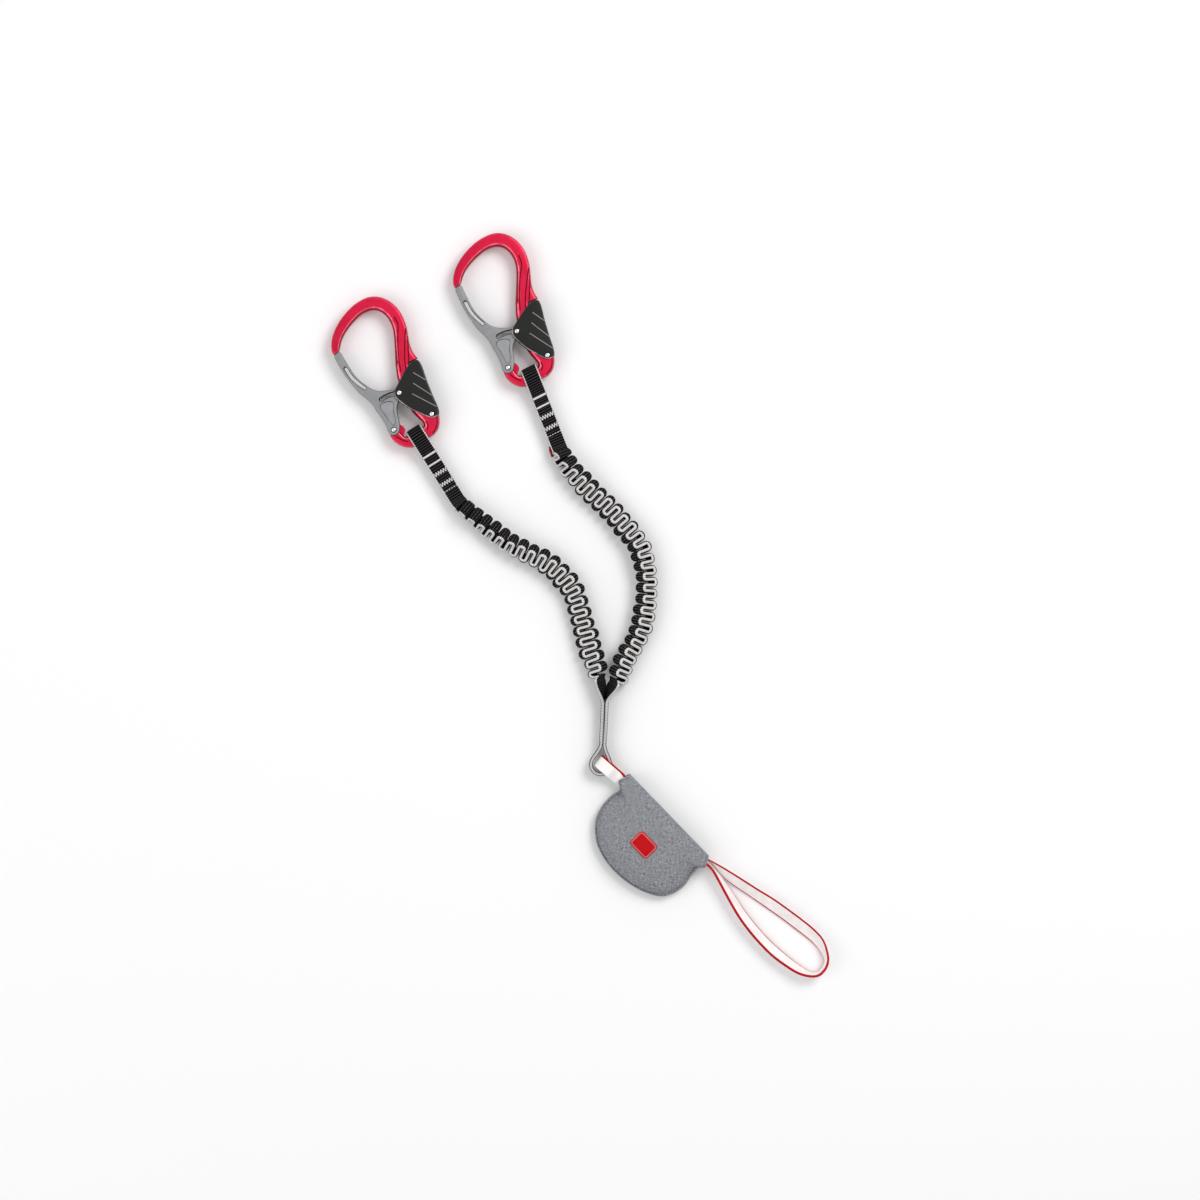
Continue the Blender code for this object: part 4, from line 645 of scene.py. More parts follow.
ruffles = ruffleTree()
armEnds = {}
for side in ("left", "right"):
    look = arms[side]
    begin, skew, out = sewnEnd(side)
    forward = heading(layout[side]["sewn"])
    begin -= forward * arms["overlap"]  # tucked into the sewn end
    lead = arms["ruffle"]["Lead"]
    points = [begin + forward * lead * k / 2 for k in range(3)] + [onTable(px) for px in look["route"]]
    line, length = evenly(smoothThrough(points, 8), arms["samples"])
    waves = max(round((length - 2 * lead) / arms["pitch"] * 2) - 1, 1)
    mesh = lineMesh(side + "ArmRoute", [line])
    rolls = mesh.attributes.new("roll", "FLOAT", "POINT")
    heights = mesh.attributes.new("height", "FLOAT", "POINT")
    firstRoll, liftEnd = math.radians(look["roll"][0][1]), look["roll"][1][0] * arms["liftShare"]
    startLift = arms["midHeight"] - ruffleSupport(firstRoll) - arms["floorGap"]
    for i, point in enumerate(line):
        share = i / (len(line) - 1)
        roll = math.radians(readTable(look["roll"], share))
        height = ruffleSupport(roll) + arms["floorGap"] + startLift * (1 - ease(share / liftEnd))
        rolls.data[i].value = roll
        heights.data[i].value = height
        point + up * height
    shape = grow(side + "Arm", mesh, ruffles, {
        **arms["ruffle"], "Waves": waves, "First Side": look["firstSide"], "Material": finishes["arm"]})
    arm = place(side + "Arm", closeEnds(shape), finishes["arm"], sharp=None)
    side + "_end"
    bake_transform(arm)
    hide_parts(side + "_elastic_arm")
    armEnds[side] = (line[-1], (line[-1] - line[-3]).normalized(), roll, height)
    print(side, "arm:", waves, "half waves on", round(length * 1000), "mm,", len(shape.polygons), "faces")


def tape(name, stations, look, body, slot, *replaced, squareness=5.0, around=20, seat=None):
    # stations: (centre, across, out, width, thickness); carries (along, across, through) for the weave
    bm = bmesh.new()
    layer = bm.verts.layers.float_vector.new("weave")
    rings, travelled, last = [], 0.0, None
    for centre, across, out, width, thickness in stations:
        travelled += (centre - last).length if last else 0.0
        last = centre
        ring = []
        for k in range(around):
            angle = 2 * math.pi * k / around
            c, s = math.cos(angle), math.sin(angle)
            x = math.copysign(abs(c) ** (2 / squareness), c) * width / 2
            y = math.copysign(abs(s) ** (2 / squareness), s) * thickness / 2
            vert = bm.verts.new(centre + across * x + out * y)
            vert[layer] = (travelled, x, y)
            ring.append(vert)
        rings.append(ring)
    bridgeAll(bm, rings)
    mesh = meshOf(name, bm)
    if seat:
        mesh.transform(seat)
    dress(place(name, mesh, finishes[look], sharp=50), body, slot, *replaced)


def threadTree():
    # a continuous thread along each line
    tree, given, out = newGroup("threadRun", "GeometryNodeTree", {"Radius": 0.0003})
    run = form(tree, "MeshToCurve", {0: given["Geometry"]})
    ring = form(tree, "CurvePrimitiveCircle", {"Resolution": 6, "Radius": given["Radius"]})
    tube = form(tree, "CurveToMesh", {"Curve": run, "Profile Curve": ring, "Fill Caps": True})
    return giveDressed(tree, given, out, tube)


def stitchTree():
    # separate stitches at an even pitch along each line
    tree, given, out = newGroup("stitchRow", "GeometryNodeTree", {
        "Pitch": 0.003, "Length": 0.0022, "Radius": 0.0003})
    run = form(tree, "MeshToCurve", {0: given["Geometry"]})
    spaced = form(tree, "ResampleCurve", {"Curve": run, "Length": given["Pitch"]}, mode="LENGTH")
    bead = form(tree, "MeshUVSphere", {"Segments": 8, "Rings": 6, "Radius": 1.0})
    tangent = form(tree, "InputTangent")
    aligned = flow(tree, "FunctionNodeAlignRotationToVector", {"Vector": tangent}, axis="Z")
    size = combine(given["Radius"], given["Radius"], given["Length"] * 0.5)
    row = form(tree, "InstanceOnPoints", {"Points": spaced, "Instance": bead, "Rotation": aligned, "Scale": size})
    return giveDressed(tree, given, out, row)


def sew(name, lines, tree, values, thread, body, slot):
    mesh = grow(name, lineMesh(name + "Lines", lines), tree, {**values, "Material": finishes[thread]})
    dress(place(name, mesh, finishes[thread]), body, slot)


threads, stitches = threadTree(), stitchTree()

sewn = {
    "width": 0.014, "thickness": 0.0026, "eye": 0.00643, "neck": 0.019, "plyClear": 0.00002, "endClear": 0.00005,
    "squareFrom": 0.045, "eyeSteps": 28,
    "flatAt": [0.05, 0.036, 0.026, 0.0215],  # from the arm to the neck, where the plies lie on each other
    "neckLine": [(0.0192, 0.0016), (0.0165, 0.0024), (0.0110, 0.0043), (0.0060, 0.00612)],
    "solidTacks": [0.0176, 0.0257], "zigzagTacks": [0.0348, 0.0446],
    "dashTack": 0.0510, "tackHalf": 0.0058, "solidReach": 0.00080, "zigzagReach": 0.0017, "thread": 0.00034,
    "solidGap": 0.00048, "zigzagGap": 0.00116, "tackLift": 0.00015, "dashLift": 0.0002,
    "dash": {"Pitch": 0.0021, "Length": 0.0017, "Radius": 0.00032},
}
redTab = {"from": 0.0585, "step": 0.001, "edge": -0.0072, "bow": 0.0009, "width": 0.0024, "thickness": 0.0010}
for side in ("left", "right"):
    begin, skew, out = sewnEnd(side)
    outward, axis = heading(out), heading(out + 90)
    bar = Vector(layout[side]["bar"])
    ply = sewn["thickness"] / 2 + sewn["plyClear"]
    turnRadius = sewn["eye"] + sewn["thickness"] / 2

    def onLoop(t, across, z):
        return bar + outward * t + axis * (across + t * math.tan(skew)) + up * z

    touch = math.acos((turnRadius - ply) / sewn["neck"])
    tapeEnd = (begin - Vector((*bar[:2], 0))).length * math.cos(skew) - sewn["endClear"]
    half = [(t, ply) for t in [tapeEnd, *sewn["flatAt"]]] + sewn["neckLine"]
    arc = [(turnRadius * math.cos(a), turnRadius * math.sin(a))
           for a in [touch + (2 * math.pi - 2 * touch) * k / sewn["eyeSteps"] for k in range(sewn["eyeSteps"] + 1)]]
    sides = [Vector((t, -z, 0)) for t, z in half + arc] + [Vector((t, z, 0)) for t, z in reversed(half)]
    lineIn = smoothThrough(sides, 2)
    stations = []
    for i, p in enumerate(lineIn):
        along = ahead(lineIn, i).normalized()
        square = ease((p.x - sewn["squareFrom"]) / (tapeEnd - sewn["squareFrom"]))  # it meets the arm squarely
        across = (axis * (1 - square) + heading(layout[side]["sewn"] + 90) * square).normalized()
        stations.append((onLoop(p.x, 0, p.y), across, outward * -along.y + up * along.x, sewn["width"],
                         sewn["thickness"]))
    tape(side + "SewnEnd", stations, "tape", side + "_end", "black_webbing", side + "_end_loop", squareness=4.0,
         around=24)

    def topAt(t):
        # height of the tape's upper face at a distance from the bar
        for (far, low), (near, high) in zip(half, half[1:]):
            if t >= near:
                return low + (high - low) * (far - t) / (far - near) + sewn["thickness"] / 2
        return sewn["eye"] + sewn["thickness"]

    lines, dashes = [], []
    for face in (1, -1):
        for kind in ("solid", "zigzag"):
            reach, gap = sewn[kind + "Reach"], sewn[kind + "Gap"]
            for spot in sewn[kind + "Tacks"]:
                ts = [spot + (reach if k % 2 else -reach) for k in range(int(2 * sewn["tackHalf"] / gap) + 1)]
                row = [onLoop(t, -sewn["tackHalf"] + gap * k, face * (topAt(t) + sewn["tackLift"]))
                       for k, t in enumerate(ts)]
                lines += [list(stroke) for stroke in zip(row, row[1:])]
        z = face * (sewn["thickness"] + sewn["dashLift"])
        dashes.append([onLoop(sewn["dashTack"], across, z) for across in (-sewn["tackHalf"], sewn["tackHalf"])])
    sew(side + "Tacks", lines, threads, {"Radius": sewn["thread"]}, "paleThread", side + "_end", "white_sling")
    sew(side + "EndStitches", dashes, stitches, sewn["dash"], "paleThread", side + "_end", "white_sling")
    if side == "right":
        # a small folded label tab, left bare, held in the tape's edge
        spots = [onLoop(redTab["from"] + redTab["step"] * k, redTab["edge"] - redTab["bow"] * ease(k / 4), 0.0)
                 for k in range(10)]
        tape("redTab", [(spot, axis, up, redTab["width"], redTab["thickness"]) for spot in spots], "tab",
             "right_end", "patch_red", around=12)
print("sewn ends done")

stem = {
    "width": 0.014, "ringWidth": 0.0095, "thickness": 0.0030, "plyGap": 0.0004, "ringRadius": 0.0082,
    "ringOpen": 28, "ringCentre": (600.7, 764.0), "left": [(601.5, 690), (602.4, 697.4)],
    "right": [(609.3, 692), (607.2, 698.5)],
    "middle": [(604.7, 704), (604.4, 712), (603.9, 724), (603.2, 736), (602.6, 746)], "gap": -0.0012,
    "ringSteps": 9,
}
link = {
    "width": 0.011, "thickness": 0.0014, "plyGap": 0.0001, "room": 0.0004, "gather": (0.0072, 0.0150),
    "twist": (0.0115, 0.0250), "rolls": (50, 90), "pouchHeight": 0.0084, "floorGap": 0.0003,
    "plyRoom": 0.0016,  # for the ply over the stem's eye and the one under it
    "samples": 33, "eyeSteps": 14,
    "route": [(603.5, 764.3), (612.3, 771.9), (621.2, 779.6), (627.6, 787.2), (633.6, 798.5)],
}
linkHeight = (stem["ringWidth"] + 2 * link["room"] + 2 * link["plyRoom"]) / 2 + link["floorGap"]
middle = [onTable(px) for px in stem["middle"]]
spread = leftOf(middle[-1] - middle[0]) * ((stem["thickness"] + stem["plyGap"]) / 2)
opening, turned, steps = 180 - stem["ringOpen"], 180 + 2 * stem["ringOpen"], stem["ringSteps"]
ring = [onTable(stem["ringCentre"]) + heading(opening + turned * k / steps) * stem["ringRadius"]
        for k in range(steps + 1)]
left, right = ([armEnds[side][0] + armEnds[side][1] * stem["gap"]] + [onTable(px) for px in stem[side]]
               for side in ("left", "right"))
line = smoothThrough(left + [p - spread for p in middle] + ring + [p + spread for p in reversed(middle)]
                     + list(reversed(right)), 6)
armHeight = ruffleSupport(0) + arms["floorGap"]
stations = []
for i, p in enumerate(line):
    side = "left" if i < len(line) / 2 else "right"
    start, _, roll, height = armEnds[side]
    upright = ease((start.y - p.y) / (start.y - middle[0].y))  # the two ends lean apart where the arms begin
    share = ease((middle[1].y - p.y) / (middle[1].y - middle[-1].y))
    along = ahead(line, i).normalized()
    sideways = leftOf(along) * (1 if side == "left" else -1)
    lean = roll * (1 - upright)
    across = up * math.cos(lean) - sideways * math.sin(lean)
    top = height + (armHeight - height) * upright
    stations.append((p + up * (top + (linkHeight - armHeight) * share), across, along.cross(across) * -1,
                     stem["width"] + (stem["ringWidth"] - stem["width"]) * share, stem["thickness"]))
tape("stemTape", stations, "stem", "yoke", "grey_webbing", "stem", squareness=4.0)

line, length = evenly(smoothThrough([onTable(px) for px in link["route"]], 8), link["samples"])
wide = stem["ringWidth"] + 2 * link["room"] + link["thickness"]
narrow = link["thickness"] + link["plyGap"]


def linkStation(i, ply):
    # the two plies stand apart round the stem's eye, and close and turn on edge towards the pouch
    distance = length * i / (len(line) - 1)
    (closeFrom, closed), (turnFrom, turned) = link["gather"], link["twist"]
    share = ease((distance - closeFrom) / (closed - closeFrom))
    rest = ease((distance - turned) / (length - turned))
    first, last = link["rolls"]
    roll = math.radians(first * ease((distance - turnFrom) / (turned - turnFrom)) + (last - first) * rest)
    rightward = leftOf(ahead(line, i))
    across = rightward * math.cos(roll) + up * math.sin(roll)
    face = up * math.cos(roll) - rightward * math.sin(roll)
    height = linkHeight + (link["pouchHeight"] - linkHeight) * share
    apart = wide + (narrow - wide) * share
    return line[i] + up * height + face * (ply * apart / 2), across, face * ply, link["width"], link["thickness"]


stations = [linkStation(i, -1) for i in range(len(line) - 1, 0, -1)]
forward = (line[1] - line[0]).normalized()
for k in range(link["eyeSteps"] + 1):
    angle = math.pi * k / link["eyeSteps"] - math.pi / 2
    out = up * math.sin(angle) - forward * math.cos(angle)
    stations.append((line[0] + up * linkHeight + out * (wide / 2), leftOf(forward), out,
                     link["width"], link["thickness"]))
stations += [linkStation(i, 1) for i in range(1, len(line))]
tape("linkTape", stations, "link", "absorber", "white_sling", "link_loop", squareness=6.0)

tieIn = {
    "width": 0.0125, "thickness": [(0.0, 0.0014), (0.12, 0.0022), (0.5, 0.0022), (0.62, 0.0013), (1.0, 0.0013)],
    "lift": 0.0008, "mouthLift": 0.0024, "mouthStation": 2, "drop": 3,
    "top": [(684.2, 850.1), (694.8, 856.4), (704.2, 861.5), (711.1, 867.8), (718.7, 881.1), (728.3, 899.3),
            (737.8, 915.6), (747.4, 929), (758.9, 942.4), (771.3, 954.8), (785.7, 965.4), (797.2, 972.1),
            (808.7, 974.9), (817.3, 974), (824, 968.2), (827.3, 959.6), (826.4, 949.1), (822.1, 937.6),
            (813.4, 928), (802.9, 919.3), (789.5, 909.3), (774.2, 898.4), (757, 887.8), (743.6, 879.2),
            (728.3, 869.7), (718.7, 864), (708, 858.5), (697, 854.2), (686, 848.3)],
    "bottom": [(684.2, 850.1), (694.8, 856.4), (705.2, 862.3), (714.5, 870), (724.3, 881.9), (735, 897),
               (744.3, 911), (754, 923.5), (764.6, 935.7), (776.3, 947), (788.5, 957.5), (798.5, 965.3),
               (809, 972), (816.8, 972.8), (822.8, 967), (825, 960), (820.5, 951), (812.5, 942.3),
               (804.5, 935.8), (795.3, 928.8), (782.5, 919), (767.5, 908.5), (751.5, 897.3), (738.5, 888.6),
               (727, 880), (717.6, 870.5), (707.4, 859.7), (697, 854.2), (686, 848.3)],
}
pairs = []
for i, (topPx, bottomPx) in enumerate(zip(tieIn["top"], tieIn["bottom"])):
    outside = (min(i, len(tieIn["top"]) - 1 - i) - tieIn["mouthStation"]) / tieIn["drop"]
    low = tieIn["mouthLift"] + (tieIn["lift"] - tieIn["mouthLift"]) * ease(outside)
    top, bottom = onTable(topPx), onTable(bottomPx)
    rise = math.sqrt(max(tieIn["width"] ** 2 - (top - bottom).length ** 2, (tieIn["width"] / 3) ** 2))
    pairs.append((top + up * (low + rise), bottom + up * low))
tops, bottoms = (smoothThrough([pair[k] for pair in pairs], 6) for k in (0, 1))
stations = []
for i, (top, bottom) in enumerate(zip(tops, bottoms)):
    across = (top - bottom).normalized()
    a, b = min(i + 1, len(tops) - 1), max(i - 1, 0)
    face = across.cross(tops[a] + bottoms[a] - tops[b] - bottoms[b]).normalized()
    stations.append(((top + bottom) / 2, across, face, tieIn["width"],
                     readTable(tieIn["thickness"], i / (len(tops) - 1))))
tape("tieInTape", stations, "sling", "absorber", "white_sling", "tie_in_loop", squareness=6.0)
print("stem, link and tie-in tapes done")

pouch = {
    "corner": (629.4, 773.9), "turn": -46.0, "height": 0.0195, "wall": 0.0012,
    "foldTop": 0.0172, "foldBottom": 0.0006, "earTop": 0.0164, "earBottom": 0.0003,
    "seam": 0.006, "seamGap": 0.0003, "strip": 0.0014, "centre": (48.5, 30.0), "length": 95,
    "ear": [(-2.9, 10.2), (3.3, 13.4)], "farEar": [(96.3, 12.1), (99.5, 8.7)],
    "rim": [(4.1, 15.9), (2.6, 20.8), (2.2, 29.1), (3.9, 38.4), (7.6, 46.9), (15, 54.9), (24.4, 60.8),
            (35.2, 64.2), (47.8, 65.6), (61.3, 64.6), (73.1, 61.9), (83.9, 57.4), (92.4, 51.4), (97.4, 42.3),
            (99, 31.8), (97.6, 24.2), (96.4, 15.3)],
    # how far each share of the way out from the middle has risen, 0 at the rim and 1 at full height
    "rise": [(0.0, 1.0), (0.58, 1.0), (0.74, 0.88), (0.85, 0.66), (0.92, 0.36), (0.95, 0.10), (0.962, 0.06),
             (0.975, 0.10), (0.99, 0.06), (1.0, 0.0)],
    "levels": [1.0, 0.99, 0.975, 0.962, 0.95, 0.935, 0.92, 0.885, 0.85, 0.80, 0.74, 0.66, 0.58, 0.46, 0.32, 0.16],
    "cornersFrom": 0.72, "cornersOver": 0.2,  # the outline's corners die away towards the middle
    "softenBy": 6, "wrinkle": 0.00022, "wrinkleScale": (40, 60, 3.0), "wrinkleEnd": 0.94, "wrinkleRise": 12,
    "foldColumns": 30, "foldBow": 0.0006, "firstBearing": -1.7, "leastTurn": 0.0035,
    "stitchShare": 0.9625, "stitchLift": 0.00005, "stitch": {"Pitch": 0.0029, "Length": 0.0022, "Radius": 0.00024},
    "stripShares": (0.992, 0.905),
}
pouchPlace = Matrix.Translation(onTable(pouch["corner"])) @ Matrix.Rotation(math.radians(pouch["turn"]), 4, "Z")


def pouchRow(x, depth, z):
    return Vector((x * mm, -depth * mm, z))


def pouchEdge(level):
    # the outline with its height: level 1 for the upper sheet, -1 for the lower
    rim = pouch["seam"] + level * (pouch["strip"] / 2 + pouch["seamGap"] + pouch["wall"])
    ear = pouch["earTop"] if level > 0 else pouch["earBottom"]
    fold = pouch["foldTop"] if level > 0 else pouch["foldBottom"]
    near, far = pouch["ear"], pouch["farEar"]
    curve = [pouchRow(0, 0, fold), pouchRow(*near[0], ear), pouchRow(*near[1], (ear + rim) / 2)]
    curve += [pouchRow(*spot, rim) for spot in pouch["rim"]]
    curve += [pouchRow(*far[0], (ear + rim) / 2), pouchRow(*far[1], ear), pouchRow(pouch["length"], 0, fold)]
    columns = [pouchRow(pouch["length"] * (1 - k / pouch["foldColumns"]), 0, fold)
               for k in range(pouch["foldColumns"] + 1)]
    return columns + turnSteadily(smoothThrough(curve, 5)[1:-1])


def turnSteadily(points):
    # each point a little further round the middle than the last, so that no ray to the middle crosses another
    middle = pouchRow(*pouch["centre"], 0)
    result, last = [], None
    for q in points:
        b = math.atan2(-(q.y - middle.y), -(q.x - middle.x))
        b = b if b > pouch["firstBearing"] else b + 2 * math.pi
        b = b if last is None else max(b, last + pouch["leastTurn"])
        reach = Vector((q.x - middle.x, q.y - middle.y, 0)).length
        result.append(Vector((middle.x - math.cos(b) * reach, middle.y - math.sin(b) * reach, q.z)))
        last = b
    return result


def riseAt(share):
    for (a, low), (b, high) in zip(pouch["rise"], pouch["rise"][1:]):
        if share <= b:
            return low + (high - low) * (share - a) / (b - a)
    return 0.0


bm = bmesh.new()
layer = bm.verts.layers.float_vector.new("weave")


def woven(spot, weaveAt):
    vert = bm.verts.new(spot)
    vert[layer] = weaveAt
    return vert


centre = pouchRow(*pouch["centre"], 0)
outer = {}
for level in (1, -1):
    edge = pouchEdge(level)
    flat = pouch["height"] if level > 0 else 0.0
    count, reach = len(edge), pouch["softenBy"]
    sharpLine = [Vector((q.x, q.y, 0)) for q in edge]
    softLine = [sum((sharpLine[(k + o) % count] for o in range(-reach, reach + 1)), Vector()) / (2 * reach + 1)
                for k in range(count)]
    loops = []
    for share in pouch["levels"]:
        loop = []
        keep = ease((share - pouch["cornersFrom"]) / pouch["cornersOver"])
        for spot, sharp, soft in zip(edge, sharpLine, softLine):
            p = centre + (soft.lerp(sharp, keep) - centre) * share
            z = spot.z + (flat - spot.z) * riseAt(share)
            if level > 0 and share < pouch["wrinkleEnd"]:
                alongBy, acrossBy, levelBy = pouch["wrinkleScale"]
                waviness = noise.noise(Vector((p.x * alongBy, p.y * acrossBy, level * levelBy)))
                z += pouch["wrinkle"] * waviness * min(1, (pouch["wrinkleEnd"] - share) * pouch["wrinkleRise"])
            loop.append(woven((p.x, p.y, z), (p.x, p.y, 0)))
        loops.append(loop)
    tip = woven((centre.x, centre.y, flat), (centre.x, centre.y, 0))
    for a, b in zip(loops, loops[1:]):
        bridge(bm, a, b)
    for k in range(count):
        bm.faces.new((loops[-1][k], loops[-1][(k + 1) % count], tip))
    outer[level] = loops[0]
wallRows = [outer[1]]
for t in (0.3, 0.7):
    wallRows.append([woven(a.co.lerp(b.co, t) + Vector((0, math.sin(math.pi * t) * pouch["foldBow"], 0)),
                           (a.co.x, (a.co.z - b.co.z) * t, 0))
                     for a, b in zip(outer[1][:pouch["foldColumns"] + 1], outer[-1])])
wallRows.append(outer[-1])
for high, low in zip(wallRows, wallRows[1:]):
    bridge(bm, high, low, pouch["foldColumns"])
shell = place("pouchShell", meshOf("pouchCover", bm, openSheet=True), finishes["pouch"], sharp=None)
wall = shell.modifiers.new("wall", "SOLIDIFY")
wall.thickness = pouch["wall"]
wall.offset = -1
mesh = bake(shell)
mesh.transform(pouchPlace)
cover = place("pouchCover", mesh, finishes["pouch"], sharp=50)
dress(cover, "absorber", "melange_grey", "pouch_cover")

# seam stitching along the rim, on both sheets
rows, share = [], pouch["stitchShare"]
for level in (1, -1):
    flat = pouch["height"] if level > 0 else 0
    rows.append([pouchPlace @ Vector((centre.x + (p.x - centre.x) * share, centre.y + (p.y - centre.y) * share,
                 p.z + (flat - p.z) * riseAt(share) + level * pouch["stitchLift"]))
                 for p in pouchEdge(level)[pouch["foldColumns"] + 1:]])
sew("pouchStitches", rows, stitches, pouch["stitch"], "greyThread", "absorber", "melange_grey")

# closure strip between the sheets, and the folded tear webbing inside
stations = []
for spot in smoothThrough([pouchRow(*spot, 0) for spot in pouch["rim"]], 3):
    outerSpot, innerSpot = (centre + (spot - centre) * share for share in pouch["stripShares"])
    across = outerSpot - innerSpot
    stations.append(((outerSpot + innerSpot) / 2 + up * pouch["seam"], across.normalized(), up,
                     across.length, pouch["strip"]))
tape("closureStrip", stations, "strip", "absorber", "dark_tape", "closure_strip", squareness=8.0, around=16,
     seat=pouchPlace)

pack = {"width": 0.012, "bottom": 0.00185, "thickness": 0.0024, "pitch": 0.0036, "runs": 9,
        "start": (20.5, 13.0), "end": 76.0, "runSteps": 12, "turnSteps": 8}
line, turnRadius = [], pack["pitch"] / 2
for run in range(pack["runs"]):
    y = -pack["start"][1] * mm - run * pack["pitch"]
    ends = [pack["start"][0] * mm + turnRadius, pack["end"] * mm - turnRadius]
    forward = -1 if run % 2 else 1
    if run % 2:
        ends.reverse()
    steps = pack["runSteps"]
    line += [Vector((ends[0] + (ends[1] - ends[0]) * k / steps, y, 0)) for k in range(steps + 1)]
    if run < pack["runs"] - 1:
        for k in range(1, pack["turnSteps"]):
            angle = math.pi / 2 - math.pi * k / pack["turnSteps"]
            line.append(Vector((ends[1] + forward * math.cos(angle) * turnRadius,
                                y - turnRadius + math.sin(angle) * turnRadius, 0)))
stations = [(p + up * (pack["bottom"] + pack["width"] / 2), up, leftOf(ahead(line, i)), pack["width"],
             pack["thickness"]) for i, p in enumerate(line)]
tape("tearPack", stations, "pack", "absorber", "white_sling", "tear_webbing_pack", squareness=6.0, around=16,
     seat=pouchPlace)
print("pouch done")

patch = {"length": 0.020, "width": 0.015, "thickness": 0.0008, "corner": 0.003, "round": 0.0003,
         "centre": (50.0, 32.0), "inset": 0.0012, "stitch": {"Pitch": 0.0017, "Length": 0.0013, "Radius": 0.0002}}


def patchOutline(inset, steps):
    x, y = patch["length"] / 2 - patch["corner"], patch["width"] / 2 - patch["corner"]
    radius = patch["corner"] - inset
    spots = []
    for sx, sy, start in ((1, 1, 0), (-1, 1, 90), (-1, -1, 180), (1, -1, 270)):
        spots += [Vector((sx * x, sy * y, 0)) + heading(start + 90 * k / steps) * radius for k in range(steps + 1)]
    return spots


def plate(name, outlines, low, high, material=None):
    # a flat plate between two heights; outlines after the first are holes
    curve = bpy.data.curves.new(name, "CURVE")
    curve.dimensions = "2D"
    curve.fill_mode = "BOTH"
    curve.extrude = (high - low) / 2
    for outline in outlines:
        spline = curve.splines.new("POLY")
        spline.points.add(len(outline) - 1)
        for point, spot in zip(spline.points, outline):
            point.co = (spot.x, spot.y, 0, 1)
        spline.use_cyclic_u = True
    mesh = bake(show(name, curve))
    mesh.transform(Matrix.Translation((0, 0, (high + low) / 2)))
    bm = bmesh.new()
    bm.from_mesh(mesh)
    bmesh.ops.remove_doubles(bm, verts=bm.verts, dist=0.000002)
    bmesh.ops.dissolve_limit(bm, angle_limit=0.002, verts=bm.verts, edges=bm.edges)
    bmesh.ops.recalc_face_normals(bm, faces=bm.faces)
    bm.to_mesh(mesh)
    bm.free()
    mesh.materials.append(material)
    return show(name, mesh)


def roundEdges(obj, width, segments=3):
    bevel = obj.modifiers.new("edge", "BEVEL")
    bevel.width = width
    bevel.segments = segments
    bevel.limit_method = "ANGLE"
    bevel.angle_limit = math.radians(60)


low = pouch["height"] + pouch["seamGap"]
blank = plate("patchBlank", [patchOutline(0, 8)], low, low + patch["thickness"])
roundEdges(blank, patch["round"])
mesh = bake(blank)
patchPlace = pouchPlace @ Matrix.Translation(pouchRow(*patch["centre"], 0))
mesh.transform(patchPlace)
dress(place("redPatch", mesh, finishes["patch"]), "absorber", "patch_red", "patch")
edge = [p + up * (low + patch["thickness"]) for p in patchOutline(patch["inset"], 6)]
edge = [patchPlace @ p for p in edge + edge[:1]]
sew("patchStitches", [edge], stitches, patch["stitch"], "paleThread", "absorber", "white_sling")
print("patch done")

